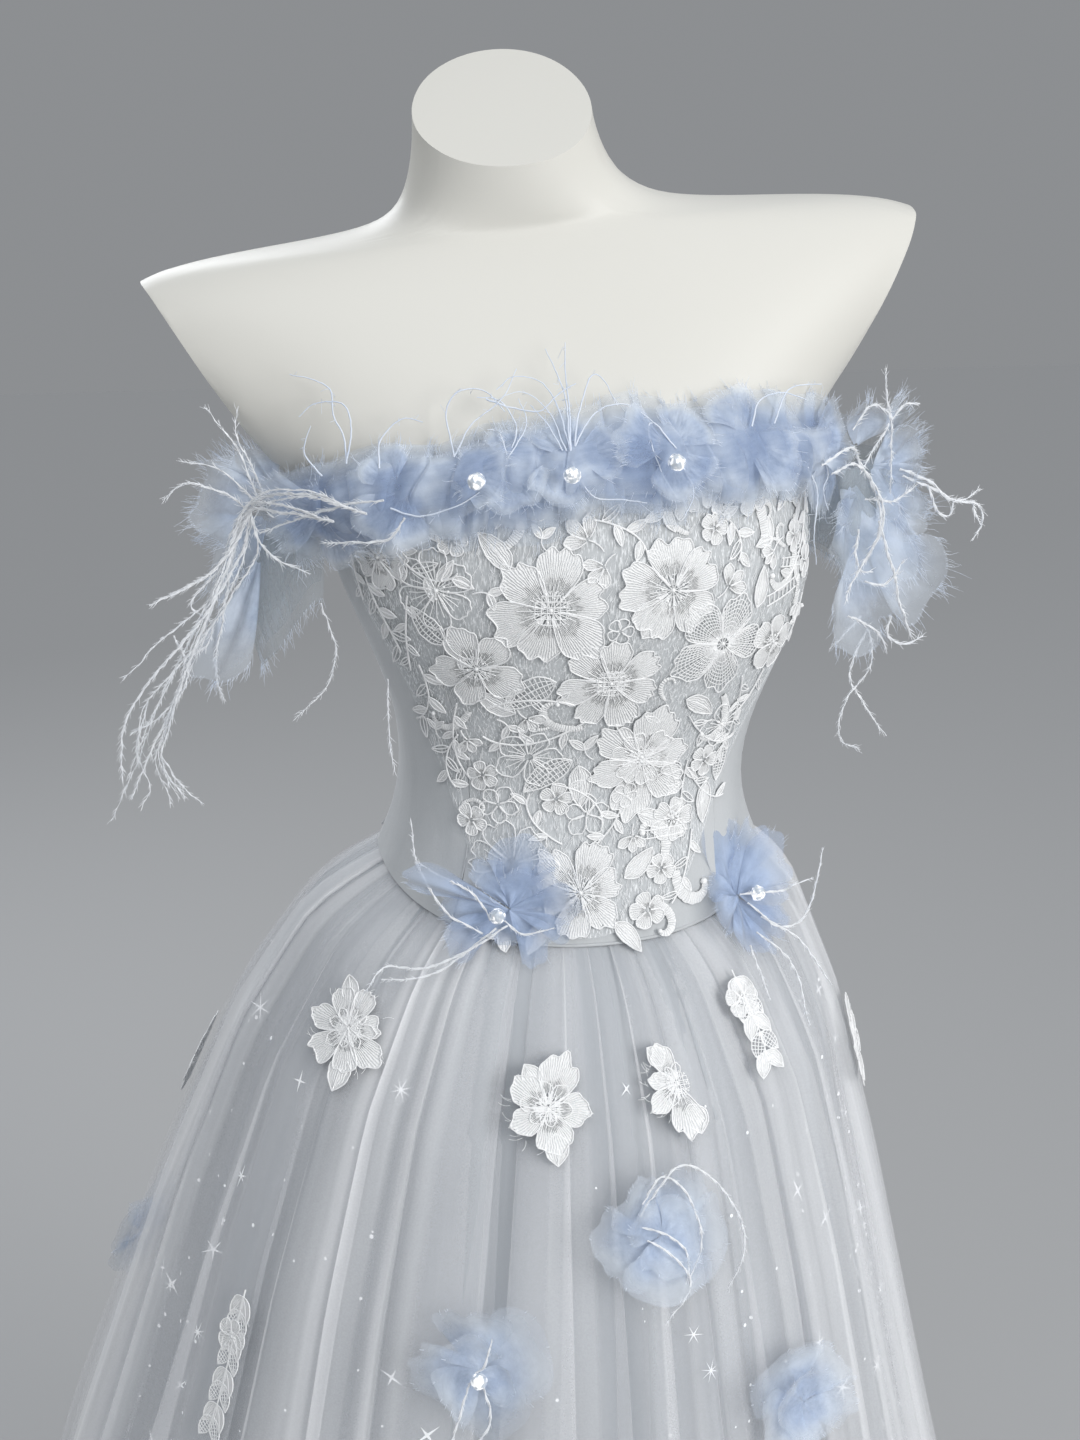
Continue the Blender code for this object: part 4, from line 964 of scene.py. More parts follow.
def tulle(name, low, high, thin, thick):
    """Fine net: denser along its creases, which run down it, and where it turns back on itself, where it is
    also painted paler as a painted highlight on the fold's edge.
    """
    finish = Finish(name, 0.7, Sheen_Weight=0.65, Sheen_Roughness=0.45, Specular_IOR_Level=0.2)
    fold = finish.place.node("ShaderNodeUVMap", {"uv_map": "fold"})
    edge_on, layers = (fold.node("ShaderNodeSeparateXYZ", output=axis, Vector=fold) for axis in (0, 1))
    crease = finish.noise(finish.cloth, 1.0, 3.0, 0.5, (STREAKS, 2.0, 1.0))
    cloud = finish.noise(finish.place, 14.0, 3.0)
    mesh_grain = finish.noise(finish.place, 900.0, 1.0)
    # painted highlight: the net is coloured paler where it turns edge-on along its fold edges
    paleness = cloud * 0.6 + crease * 0.3 + edge_on * 0.15 + layers * 0.35
    finish.tint(paleness, low, high)
    density = (crease.between(0.25, 0.80) * 0.4 + layers * 0.6) * (thick - thin) + thin
    finish.feed("Alpha", density + edge_on.between(0.1, 1.0) * 0.08 + mesh_grain * 0.08 - 0.04)
    finish.feed("Roughness", crease * 0.25 + 0.55)
    finish.bump(crease + mesh_grain * 0.05, 0.002, 0.25)
    return finish


lining_satin = Finish("lining_satin", 0.55, Sheen_Weight=0.3, Sheen_Roughness=0.4)
lining_crease = lining_satin.noise(lining_satin.cloth, 1.0, 4.0, 0.6, (150.0, 2.0, 1.0))
lining_satin.tint(lining_crease, (0.31, 0.335, 0.365), (0.47, 0.495, 0.525))
lining_satin.bump(lining_crease, 0.002, 0.4)


def layer(node, gap, gathers, count, seed, depth, lap, out=0.0):
    """One layer's pleats, whose top edge is gathered in to a gap from the bodice."""
    pleats = Pleats(Hung([node], 0.0, 1.0, rise=0.006, soften=10, soften_up=2), count, seed, depth, lap, out)
    pleats.gather_onto(chest, gap)
    pleats.gathers = gathers
    return pleats


lining = layer("skirt_lining", gap=0.0002, gathers=0.0, count=34, seed=21, depth=0.0085, lap=0.20)
skirt_lining = cloth_patches("skirt_lining_satin", [lining.patch(9, 34)], lining_satin,
                             ["skirt_lining"], closed=True)
spangled_net = tulle("spangled_tulle", (0.77, 0.79, 0.83), (0.93, 0.94, 0.96), 0.08, 0.36)
spangled = layer("skirt_spangled_tulle", gap=0.0006, gathers=0.0010, count=28, seed=22, depth=0.0135,
                 lap=0.40)
skirt_spangled = cloth_patches("skirt_spangled_net", [spangled.patch(23, 38)], spangled_net,
                               ["skirt_spangled_tulle"], closed=True)
plain_net = tulle("plain_tulle", (0.78, 0.79, 0.815), (0.94, 0.945, 0.96), 0.06, 0.52)
plain = layer("skirt_plain_tulle", gap=0.0012, gathers=0.0014, count=31, seed=23, depth=0.0160, lap=0.56,
              out=-0.003)
skirt_plain = cloth_patches("skirt_plain_net", [plain.patch(27, 40)], plain_net,
                            ["skirt_plain_tulle"], closed=True)
folded(skirt_spangled, spangled)
folded(skirt_plain, plain)


# ---------------------------------------------------------------- stars and dots
# Thin silver-white foil stars and dots, pressed on the second tulle layer all over. They are given a faint
# painted white glow, so that they seem to glint.

# painted glow: the foil has a faint white emission, though it is no lamp
foil = Finish("spangle_foil", 0.3, 0.0, Specular_IOR_Level=0.8, Emission_Strength=0.26)
foil_tone = foil.noise(foil.place, 55.0, 2.0)
foil.tint(foil_tone, (0.80, 0.83, 0.87), (0.97, 0.98, 1.0))
foil.feed("Roughness", foil_tone * 0.3 + 0.15)
foil.feed("Emission Color", (1.0, 1.0, 1.0, 1.0))
STARS, DOTS = 700, 3000
spangle_rng = np.random.default_rng(31)
spangles_bm = bmesh.new()
flat_spangles = []
for number in range(STARS + DOTS):
    star = number < STARS
    arms = int(spangle_rng.choice([4, 4, 5, 6, 8])) if star else 3
    size = spangle_rng.uniform(0.0050, 0.0095) if star else spangle_rng.uniform(0.0007, 0.0014)
    ring = bmesh.ops.create_circle(spangles_bm, cap_ends=True, segments=arms * 2, radius=1.0)["verts"]
    spin = spangle_rng.uniform(0, 2 * math.pi)
    for k, vert in enumerate(ring):
        point = 0.72 if k % 4 and arms == 4 else 1.0            # a four-armed star has two shorter arms
        reach = size * (0.13 if k % 2 else point) if star else size
        way = spin + math.pi * k / arms
        vert.co = (reach * math.cos(way), reach * math.sin(way), 0)
    flat_spangles.append((len(ring), spangle_rng.uniform(0, 1), math.sqrt(spangle_rng.uniform(0.004, 0.97))))
spangles_mesh = mesh_of("foil_spangles", spangles_bm)
corners = np.repeat(np.arange(len(flat_spangles)), [count for count, _, _ in flat_spangles])
shares, falls = (np.array([row[k] for row in flat_spangles]) for k in (1, 2))
step, FOIL_OUT = 2e-4, 0.0009
here = spangled.place(shares, falls)
along = spangled.place(shares + step, falls) - here
down = spangled.place(shares, falls + step) - here
facing = unit(np.cross(down, along))
facing *= np.sign((facing * here * (1, 1, 0)).sum(axis=1))[:, None]
flat = places_of(spangles_mesh)
put(spangles_mesh, here[corners] + unit(along)[corners] * flat[:, :1] + unit(down)[corners] * flat[:, 1:2]
    + facing[corners] * FOIL_OUT)
spangles = dress_up("foil_spangles", spangles_mesh, foil, smooth=False)

# A satin cord covers the seam between the bodice and the skirt. Finer ones are pressed in the panel seams.
waist_angles = np.arange(-172.0, 172.1, 2.0)
waist_heights = plain.form.height(waist_angles, 0.0)
waist_seam = chest.point(waist_angles, waist_heights + 0.010, 0.0014)
waist_seam[:, 2] = waist_heights + 0.0012
seams = [(waist_seam, 0.0010)]
for node, side in (("bodice_front", -1), ("bodice_front", 1), ("bodice_side_left", 1),
                   ("bodice_side_right", -1)):
    panel_points = places_of(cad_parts[node].data)
    turns, ups = turns_of(panel_points), panel_points[:, 2]
    known = np.arange(ups.min() + 0.010, ups.max() - 0.010, 0.02)
    edge = [(turns[np.abs(ups - height) < 0.02] * side).max() * side for height in known]
    foot = float(plain.form.height(edge[0], 0.0)) + 0.004
    heights = np.arange(max(known[0], foot), known[-1], 0.004)
    seams.append((chest.point(np.interp(heights, known, edge), heights, 0.0003), 0.0007))
threads("satin_piping", seams, satin, fine=1)


# ---------------------------------------------------------------- neckline ruffle
# Strips of soft blue tulle, cut with raw edges and gathered one over another along the top of the bodice, in
# front and at the back. Loose pieces of the same tulle are caught under the crystals and at the ends.

BLUE_DEEP, BLUE, BLUE_PALE = (0.37, 0.47, 0.67), (0.47, 0.57, 0.755), (0.72, 0.79, 0.885)


class Crumple:
    """Soft uneven swells over a cloth, of about one unit, repeating nowhere near."""

    WAVES = 10

    def __init__(self, seed):
        rng = np.random.default_rng(seed)
        self.way, self.phase = rng.normal(0, 1, (self.WAVES, 2)), rng.uniform(0, 6.28, self.WAVES)

    def __call__(self, x, y, beat):
        x, y = np.asarray(x, float)[..., None], np.asarray(y, float)[..., None]
        waves = np.sin(beat * (self.way[:, 0] * x + self.way[:, 1] * y) + self.phase)
        return waves.sum(-1) / len(self.phase) ** 0.5


class Band:
    """Where a strip of cloth lies round the neckline, from its CAD node's lower edge, 0, to its upper, 1."""

    def __init__(self, node, seed, wide, rest, puff):
        """wide is its width against the node's. Its edges lie rest out, and its middle puff more."""
        points = places_of(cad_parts[node].data)
        turns = turns_of(points)
        if node != "ruffle_front":
            turns = turns % 360
        self.start, self.end = turns.min() + 1, turns.max() - 1
        self.angles = np.arange(self.start, self.end, 4.0)
        near = [points[np.abs(turns - angle) < 6, 2] for angle in self.angles]
        self.low = np.array([heights.min() for heights in near])
        self.high = np.array([heights.max() for heights in near])
        self.crumple, self.wide, self.rest, self.puff = Crumple(seed), wide, rest, puff

    def point(self, angle, level, out=0.0):
        low, high = np.interp(angle, self.angles, self.low), np.interp(angle, self.angles, self.high)
        lively = self.crumple(angle / 30, level * 0.4, 3.0)
        height = (low + high) / 2 + (high - low) * self.wide * (level - 0.5) + 0.0035 * lively
        bulge = self.rest + self.puff * np.sin(np.pi * np.clip(level, 0, 1)) ** 0.7
        bulge = bulge + 0.0022 * self.crumple(angle / 16, level, 2.4)
        return chest.point(angle, height, np.maximum(bulge + out, 0.0012))


class Gathers(Pleats):
    """Pleats that are caught along the middle of a strip, and stand open at its two raw edges."""

    def opened(self, fall):
        return 0.30 + 0.70 * np.abs(2 * fall - 1) ** 1.3

    def fall(self, v):
        return 1 - v


def gathered(node, seed, count, depth, lap, wide, rest, puff):
    band = Band(node, seed, wide, rest, puff)
    return Gathers(band, count, seed, depth, lap, 0.0, band.start, band.end - band.start)


THREAD = 0.00009        # radius of a loose thread of the tulle


def frayed(patches, seed, hairs, longest, edges=(1.0,)):
    """Loose threads that stand out from the raw edges of patches, as lines for threads()."""
    lines = []
    for number, (_, _, shape) in enumerate(patches):
        rng = np.random.default_rng(seed + number)
        for edge in edges:
            u = rng.uniform(0, 1, hairs)
            root, behind = shape(u, np.full(hairs, edge)), shape(u, np.full(hairs, abs(edge - 0.06)))
            way = root - behind
            way /= np.linalg.norm(way, axis=1, keepdims=True) + 1e-9
            reach = longest * rng.uniform(0.25, 1.0, (hairs, 1))
            bend = way + rng.normal(0, 0.28, (hairs, 3))
            tip = bend + rng.normal(0, 0.30, (hairs, 3))
            middle = root + bend * reach * 0.5
            lines += [(np.stack(triple), (THREAD, THREAD, THREAD * 0.5))
                      for triple in zip(root - way * 0.0015, middle, middle + tip * reach * 0.5)]
    return lines


def lobe(origin, normal, heading, length, spread, seed, cup, depth, gathers=3, start=0.08):
    """A loose fan of tulle, caught at its point. Its heading turns clockwise from up, seen from outside."""
    crumple = Crumple(seed)
    normal = unit(np.asarray(normal, float))
    upright = unit(np.array([0, 0, 1.0]) - normal * normal[2])
    across = np.cross(upright, normal)
    turn = math.radians(heading)
    out_way = upright * math.cos(turn) + across * math.sin(turn)
    side_way = across * math.cos(turn) - upright * math.sin(turn)

    def shape(u, v):
        fan = np.radians(spread) * (u * 2 - 1)
        ragged = 0.10 * crumple(u * 1.5, 0 * u, 2.4) * v + 0.07 * crumple(u * 5 + 3, 0 * u, 2.6) * v ** 3
        reach = length * (start + (1 - start) * v) * (1 + ragged)
        reach = reach * (0.80 + 0.20 * np.sqrt(np.clip(1 - np.abs(u * 2 - 1) ** 2.4, 0, 1)))
        fold = 0.8 * np.sin(gathers * np.pi * u + 2.0 * crumple(u, v, 1.3) + seed) * (1 - 0.4 * v)
        fold = fold + 0.55 * crumple(u * 1.4, v * 0.9, 2.0)
        fan = fan + np.radians(spread) * (0.35 / gathers * np.cos(gathers * np.pi * u + seed)
                                          + 0.10 * crumple(u + 4, v, 2.0)) * v
        curl = 0.10 * np.sin(2.2 * crumple(u * 0.8 + 9, 0 * u, 2.0)) * length * v ** 4
        rise = (cup * reach ** 2 / length + depth * v ** 0.8 * fold
                + 0.0020 * crumple(u * 2, v * 1.4, 2.4) * v + curl)
        return (origin + out_way * (reach * np.cos(fan))[:, None] + side_way * (reach * np.sin(fan))[:, None]
                + normal * rise[:, None])
    return 30, 14, shape


def blue_tulle(name, low, high, thin, thick, streaks, both):
    """Soft net, thinner and paler towards a raw edge where v is 1, or also where it is 0."""
    finish = Finish(name, 0.75, Sheen_Weight=0.5, Sheen_Roughness=0.5, Specular_IOR_Level=0.15)
    crease = finish.noise(finish.cloth, 1.0, 4.0, 0.6, (streaks, 2.5, 1.0))
    up = finish.cloth.node("ShaderNodeSeparateXYZ", output=1, Vector=finish.cloth)
    if both:
        up = (up - 0.5) * 2.0
        up = up.math("ABSOLUTE", up)
    airy = up.between(0.45, 1.05)
    cloud = finish.noise(finish.place, 42.0, 3.0)
    grain = finish.noise(finish.place, 1100.0, 1.0)
    paleness = (cloud * 1.3 + crease * 0.5 + airy * 0.5 - 0.5).between(0.1, 0.9)
    finish.tint(paleness, low, high)
    dense = (crease * 0.6 + cloud * 0.5).between(0.30, 0.78) * (thick - thin) + thin + grain * 0.1
    finish.feed("Alpha", dense * (1.0 - airy * 0.62))
    finish.feed("Roughness", crease * 0.2 + 0.6)
    finish.bump(crease + cloud * 0.6 + grain * 0.06, 0.0016, 0.45)
    return finish


ruffle_tulle = blue_tulle("ruffle_tulle", BLUE_DEEP, BLUE_PALE, 0.26, 0.70, 9.0, True)
petal_tulle = blue_tulle("petal_tulle", BLUE, BLUE_PALE, 0.32, 0.74, 2.6, False)
waist_tulle = blue_tulle("waist_tulle", BLUE_DEEP, BLUE, 0.46, 0.86, 2.6, False)
hair_blue = Finish("frayed_thread", 0.7, Specular_IOR_Level=0.2)
hair_tone = hair_blue.noise(hair_blue.place, 60.0, 2.0)
hair_blue.tint(hair_tone, (0.62, 0.71, 0.87), (0.90, 0.93, 0.97))


def neckline_piece(name, node, strips, lobes, seed):
    """Gathered strips and caught lobes as one cloth, and the loose threads of their raw edges."""
    patches = [strip.patch(14, 12) for strip in strips]
    loose = frayed(patches, seed, 130, 0.0065, (0.0, 1.0)) + frayed(lobes, seed + 40, 16, 0.0050)
    cloth = cloth_patches(name, patches + lobes, ruffle_tulle, [node])
    edge = threads(name + "_threads", loose, hair_blue)


def on_chest(angle, height, out):
    """A point on the bodice with the way that the surface faces there."""
    here, further = chest.point(angle, height, out), chest.point(angle, height, out + 0.01)
    return here, (further - here) / 0.01


# A strip's seed, its pleats with their depth and lap, its width against the node's, its rest and its puff.
front_strips = [gathered("ruffle_front", 41, 22, 0.0034, 0.34, 1.02, 0.0030, 0.0040),
                gathered("ruffle_front", 44, 13, 0.0062, 0.46, 1.24, 0.0045, 0.0060),
                gathered("ruffle_front", 42, 16, 0.0056, 0.44, 0.92, 0.0070, 0.0055),
                gathered("ruffle_front", 43, 19, 0.0042, 0.44, 0.66, 0.0110, 0.0045)]
front_lobes = []
# Angle round the form, height and distance out, then heading, length and spread, in degrees and millimetres.
for number, (angle, height, out, heading, length, spread) in enumerate([
        (-26, 1284, 12, 150, 26, 46), (-26, 1284, 12, 20, 22, 50), (-28, 1283, 13, 265, 24, 44),
        (-10, 1289, 12, 205, 28, 44), (-10, 1289, 12, 335, 24, 50), (-9, 1288, 13, 85, 24, 44),
        (18, 1292, 12, 170, 30, 44), (18, 1292, 12, 40, 24, 50), (17, 1292, 13, 280, 26, 44),
        (38, 1292, 12, 130, 32, 48), (38, 1296, 12, 350, 26, 52), (56, 1290, 13, 100, 32, 48),
        (62, 1284, 12, 190, 34, 44), (-46, 1276, 12, 200, 30, 48), (-48, 1278, 12, 320, 20, 56),
        (-62, 1268, 13, 260, 34, 46), (-64, 1264, 12, 165, 34, 40), (-36, 1281, 13, 100, 26, 40)]):
    spot, facing = on_chest(angle, height / 1000, out / 1000)
    front_lobes.append(lobe(spot, facing, heading, length / 1000 * 1.05, spread * 1.1, 60 + number,
                            cup=0.13, depth=0.0026))
neckline_piece("ruffle_front_tulle", "ruffle_front", front_strips, front_lobes, 300)
for side, seed in (("left", 47), ("right", 52)):
    node = "ruffle_back_" + side
    strips = [gathered(node, seed, 13, 0.0026, 0.28, 1.0, 0.0025, 0.0035),
              gathered(node, seed + 1, 9, 0.0042, 0.40, 0.80, 0.0050, 0.0045)]
    first, last = strips[0].start, strips[0].start + strips[0].span
    lobes = []
    for number, share in enumerate((0.12, 0.34, 0.58, 0.82)):
        angle = first + (last - first) * share
        spot, facing = on_chest(angle, 1.262, 0.010)
        for heading, length, spread, ahead in ((20 + 70 * number, 0.024, 48, 90),
                                               (190 + 50 * number, 0.026, 46, 110)):
            lobes.append(lobe(spot, facing, heading, length, spread, ahead + seed + number, cup=0.2,
                              depth=0.0028))
    neckline_piece(f"ruffle_back_{side}_tulle", node, strips, lobes, 400 + seed)


# ---------------------------------------------------------------- sleeves
# Short dropped sleeves that hang beside the bodice: a loop of sheer grey organza from the front neckline
# round to the back, two layers deep, with a cluster of raw-edged blue tulle lobes on its outside.

organza = Finish("sleeve_organza", 0.45, Sheen_Weight=0.3, Sheen_Roughness=0.35, Specular_IOR_Level=0.35)
slub = organza.noise(organza.cloth, 1.0, 4.0, 0.55, (30.0, 3.0, 1.0))
drift = organza.noise(organza.place, 30.0, 3.0)
organza.tint(drift, (0.36, 0.41, 0.44), (0.56, 0.61, 0.66))
organza.feed("Alpha", slub.between(0.25, 0.8) * 0.22 + drift * 0.18 + 0.16)
organza.bump(slub + drift * 0.8, 0.0012, 0.4)


def sleeve_loop(side, low_front, low_outer, high_front, high_outer, inset, seed):
    """One layer of a sleeve: side is 1 on the wearer's left and -1 on the right."""
    crumple = Crumple(seed)
    centre_x, reach_x, reach_y = side * 0.1545, 0.038 - inset, 0.037 - inset

    def shape(u, v):
        turn = np.pi * (u - 0.5) * 1.08
        outer = np.cos(turn)
        low = low_front + (low_outer - low_front) * np.clip(outer, 0, 1) ** 1.2
        low = low + 0.003 * crumple(u * 2, 0 * u, 2.0)
        high = high_front + (high_outer - high_front) * outer + 0.002 * crumple(u * 2, 0 * u + 3, 2.0)
        belly = 1 + 0.08 * np.sin(np.pi * v) - 0.20 * (1 - v) ** 3 + 0.03 * crumple(u * 2, v * 1.5, 2.0)
        fold = 0.0018 * np.sin(22 * u + 3 * v + 2 * crumple(u, v, 1.5)) * (0.4 + 0.6 * np.abs(2 * v - 1))
        return np.column_stack([centre_x + side * (reach_x * belly + fold) * outer,
                                reach_y * np.sin(turn) * (1 + 0.05 * np.sin(np.pi * v)) + fold * np.sin(turn),
                                low + (high - low) * v])
    return 64, 26, shape


SLEEVES = {             # the lower and the upper edge's heights, in front and outside, then inset and seed
    "right": [sleeve_loop(-1, 1.200, 1.154, 1.250, 1.240, 0.0, 71),
              sleeve_loop(-1, 1.210, 1.166, 1.248, 1.238, 0.004, 72)],
    "left": [sleeve_loop(1, 1.196, 1.180, 1.266, 1.270, 0.0, 73),
             sleeve_loop(1, 1.206, 1.190, 1.264, 1.268, 0.004, 74)],
}
for side, layers in SLEEVES.items():
    sleeve = cloth_patches(f"sleeve_{side}_organza", layers, organza, [f"sleeve_{side}"])
    hem_hairs = threads(f"sleeve_{side}_threads", frayed(layers[:1], 75, 170, 0.008, (0.0,)),
                        hair_blue)

LOBES = {               # the way that lobes face; then the place of each, its heading, length and spread
    "left": [
        ((0.45, -0.89, 0.0), [
            (158, -34, 1276, 15, 30, 55), (168, -36, 1264, 72, 36, 46), (166, -38, 1266, 125, 36, 40),
            (170, -36, 1236, 92, 40, 50), (168, -36, 1222, 132, 50, 40), (160, -38, 1224, 185, 56, 34),
            (156, -38, 1258, 175, 60, 36), (160, -37, 1250, 240, 24, 46)]),
        ((0.97, -0.15, 0.05), [
            (190, 2, 1264, 10, 34, 56), (192, 0, 1250, 130, 44, 46), (192, 4, 1240, 205, 48, 44),
            (191, 0, 1252, 275, 36, 50)]),
        ((0.55, 0.83, 0.0), [
            (170, 35, 1256, 30, 34, 52), (170, 36, 1246, 150, 48, 46), (168, 36, 1250, 230, 40, 48)]),
    ],
    "right": [
        ((-0.4, -0.91, 0.0), [
            (-182, -36, 1258, 282, 38, 44), (-176, -37, 1262, 330, 30, 46), (-180, -37, 1250, 225, 34, 42),
            (-168, -38, 1252, 130, 32, 42), (-184, -34, 1228, 198, 66, 17)]),
        ((-0.97, -0.1, 0.05), [
            (-192, 0, 1246, 350, 30, 56), (-193, 2, 1236, 150, 44, 42), (-193, 0, 1238, 225, 44, 42)]),
        ((-0.55, 0.83, 0.0), [
            (-172, 34, 1240, 330, 32, 52), (-172, 35, 1232, 170, 44, 46), (-170, 35, 1238, 240, 36, 46)]),
    ],
}
for side, clusters in LOBES.items():
    lobes = []
    for facing, fans in clusters:
        for *spot, heading, length, spread in fans:
            lobes.append(lobe(np.array(spot) / 1000, facing, heading, length / 1000, spread, 130 + len(lobes),
                              cup=0.30, depth=0.0048, gathers=4))
    ruffle = cloth_patches(f"sleeve_ruffle_{side}_tulle", lobes, petal_tulle,
                           [f"sleeve_ruffle_{side}"])
    lobe_hairs = threads(f"sleeve_ruffle_{side}_threads", frayed(lobes, 160, 60, 0.0085),
                         hair_blue)


# ---------------------------------------------------------------- crystals
# Cut-glass beads with a foil back, each sewn on through a small claw ring at a flower's heart. Their glints are
# painted: some facets are coloured white and glow, and the rest a darker grey-blue.

crystal_glass = Finish("crystal_glass", 0.05, 0.25, Coat_Weight=1.0, Coat_Roughness=0.02,
                       Specular_IOR_Level=1.0, Emission_Strength=0.55)
painted_glints = crystal_glass.noise(crystal_glass.place, 330.0, 1.0)
# painted glints: white facets that glow, among darker grey-blue ones that stand for reflected shade
for socket, low, high, between_glints in (("Base Color", 0.35, 0.60, (0.62, 0.68, 0.76)),
                                ("Emission Color", 0.48, 0.58, (0.06, 0.07, 0.08))):
    crystal_glass.feed(socket, crystal_glass.mix(painted_glints.between(low, high), between_glints, (1.0, 1.0, 1.0)))
CRYSTALS = ["crystal_right", "crystal_centre", "crystal_left", "crystal_waist_flower_right",
            "crystal_waist_flower_left", "crystal_skirt_flower_2"]
for node in CRYSTALS:
    low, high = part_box(node)
    middle, radius = (low + high) / 2, (high.x - low.x) / 2
    bead_bm = bmesh.new()
    bmesh.ops.create_icosphere(bead_bm, subdivisions=2, radius=radius,
                               matrix=Matrix.Translation(middle) @ Matrix.Rotation(0.5, 4, "X"))
    away = Vector((middle.x - AXIS, middle.y, 0)).normalized()
    bmesh.ops.create_circle(bead_bm, segments=20, radius=radius * 1.02,
                            matrix=Matrix.Translation(middle - away * radius * 0.35)
                            @ away.to_track_quat("Z", "Y").to_matrix().to_4x4())
    ring = [edge for edge in bead_bm.edges if not edge.link_faces]
    claw = bmesh.ops.extrude_edge_only(bead_bm, edges=ring)["geom"]
    bmesh.ops.translate(bead_bm, verts=[part for part in claw if isinstance(part, bmesh.types.BMVert)],
                        vec=away * radius * 0.22)
    bmesh.ops.recalc_face_normals(bead_bm, faces=bead_bm.faces)
    piece_of(node + "_bead", bead_bm, crystal_glass, [node], smooth=False)


# ---------------------------------------------------------------- strands
# Soft white feathery yarns knotted to the neckline and the sleeves, two thin plies twisted together with fine
# barbs along them, and finer bare ones that spring up over the top edge.

yarn_white = Finish("strand_yarn", 0.7, Sheen_Weight=0.4, Sheen_Roughness=0.4, Specular_IOR_Level=0.3)
yarn_tone = yarn_white.noise(yarn_white.place, 45.0, 2.0)
yarn_white.tint(yarn_tone, (0.80, 0.83, 0.87), (0.97, 0.975, 0.985))
yarn_grain = yarn_white.noise(yarn_white.place, 1300.0, 1.0)
yarn_white.bump(yarn_grain, 0.0002, 0.5)


YARN_STEP = 0.0022      # from one point to the next along a yarn


def smooth_line(points):
    """An even line through the points, turning softly at each."""
    points = np.asarray(points, float)
    ends = np.vstack([2 * points[0] - points[1], points, 2 * points[-1] - points[-2]])
    pieces = []
    for a, b, c, d in zip(ends, ends[1:], ends[2:], ends[3:]):
        t = np.linspace(0, 1, 12, endpoint=False)[:, None]
        pieces.append(0.5 * (2 * b + (c - a) * t + (2 * a - 5 * b + 4 * c - d) * t ** 2
                             + (3 * b - a - 3 * c + d) * t ** 3))
    line = np.vstack([*pieces, points[-1:]])
    along = np.concatenate([[0], np.cumsum(np.linalg.norm(np.diff(line, axis=0), axis=1))])
    even = np.linspace(0, along[-1], max(6, round(along[-1] / YARN_STEP)))
    return np.column_stack([np.interp(even, along, line[:, axis]) for axis in range(3)])


def feathery(points, seed, thick, barbs, longest):
    """A twisted yarn with barbs that lean towards its free end, as lines for threads()."""
    rng = np.random.default_rng(seed)
    line = smooth_line(points)
    count = len(line)
    wobble = np.cumsum(rng.normal(0, 0.00022, (count, 3)), axis=0)
    line = line + wobble - np.linspace(0, 1, count)[:, None] * wobble[-1]
    along = unit(np.gradient(line, axis=0))
    side = unit(np.cross(along, (0.31, 0.9, 0.31)))
    other = np.cross(along, side)
    taper = thick * (0.35 + 0.65 * np.sin(np.pi * np.clip(np.linspace(0.25, 0.98, count), 0, 1)))
    turn = np.arange(count)[:, None] * 0.9
    plies = [line + (side * np.cos(turn + k) + other * np.sin(turn + k)) * taper[:, None] * 0.55
             for k in (0, math.pi)]
    lines = [(ply, taper * 0.62) for ply in plies]
    for at in rng.integers(1, count - 1, round(barbs * count * 2.4)):
        way = rng.uniform(0, 2 * math.pi)
        lean = rng.uniform(0.25, 0.8)
        out = side[at] * math.cos(way) + other[at] * math.sin(way)
        reach = longest * rng.uniform(0.3, 1.0)
        mid = line[at] + (along[at] + out * lean) * reach * 0.5
        tip = mid + (along[at] + out * lean * rng.uniform(0.3, 1.3)) * reach * 0.5
        lines.append((np.stack([line[at], mid, tip]), (0.00017, 0.00014, 0.00006)))
    return lines


def wisp(points, seed):
    """A fine bare yarn, thinner towards its end, with a few short side fibres."""
    rng = np.random.default_rng(seed)
    line = smooth_line(points)
    line += np.cumsum(rng.normal(0, 0.00016, line.shape), axis=0)
    lines = [(line, 0.00050 * np.linspace(1.1, 0.5, len(line)))]
    for at in rng.integers(len(line) // 3, len(line) - 1, 4):
        fibre = line[at] + np.stack([np.zeros(3), rng.normal(0, 0.0013, 3), rng.normal(0, 0.0024, 3)])
        lines.append((fibre, 0.00012))
    return lines


# Places along each yarn, in millimetres.
RIGHT_KNOT, LEFT_KNOT = (-190, -56, 1258), (150, -58, 1272)
RIGHT_STRANDS = [
    [(-134, -112, 1268), (-158, -94, 1274), (-178, -70, 1270), RIGHT_KNOT, (-208, -50, 1214),
     (-232, -47, 1160), (-250, -46, 1120), (-262, -45, 1092)],
    [(-150, -102, 1262), (-172, -80, 1262), RIGHT_KNOT, (-206, -52, 1218), (-226, -49, 1176),
     (-240, -47, 1130), (-243, -45, 1112), (-232, -44, 1090)],
    [RIGHT_KNOT, (-200, -54, 1238), (-216, -52, 1222), (-246, -50, 1206)],
    [RIGHT_KNOT, (-196, -54, 1232), (-214, -52, 1204), (-231, -50, 1184), (-252, -48, 1158),
     (-264, -47, 1136), (-266, -46, 1104)],
    [RIGHT_KNOT, (-206, -50, 1228), (-224, -49, 1206), (-214, -49, 1194), (-217, -48, 1180),
     (-232, -47, 1172)],
    [(-234, -49, 1188), (-227, -48, 1170), (-231, -47, 1154), (-244, -46, 1140), (-260, -45, 1131)],
    [RIGHT_KNOT, (-187, -60, 1244), (-179, -64, 1234), (-160, -72, 1226)],
    [(-116, -126, 1268), (-124, -120, 1256), (-140, -112, 1253), (-156, -100, 1250)],
    [(-126, -118, 1276), (-146, -104, 1270), (-168, -82, 1258), (-186, -66, 1248)],
    [RIGHT_KNOT, (-203, -49, 1266), (-222, -44, 1272), (-236, -40, 1262)],
    [(-198, -44, 1240), (-206, -42, 1200), (-212, -40, 1170), (-208, -40, 1146)],
]
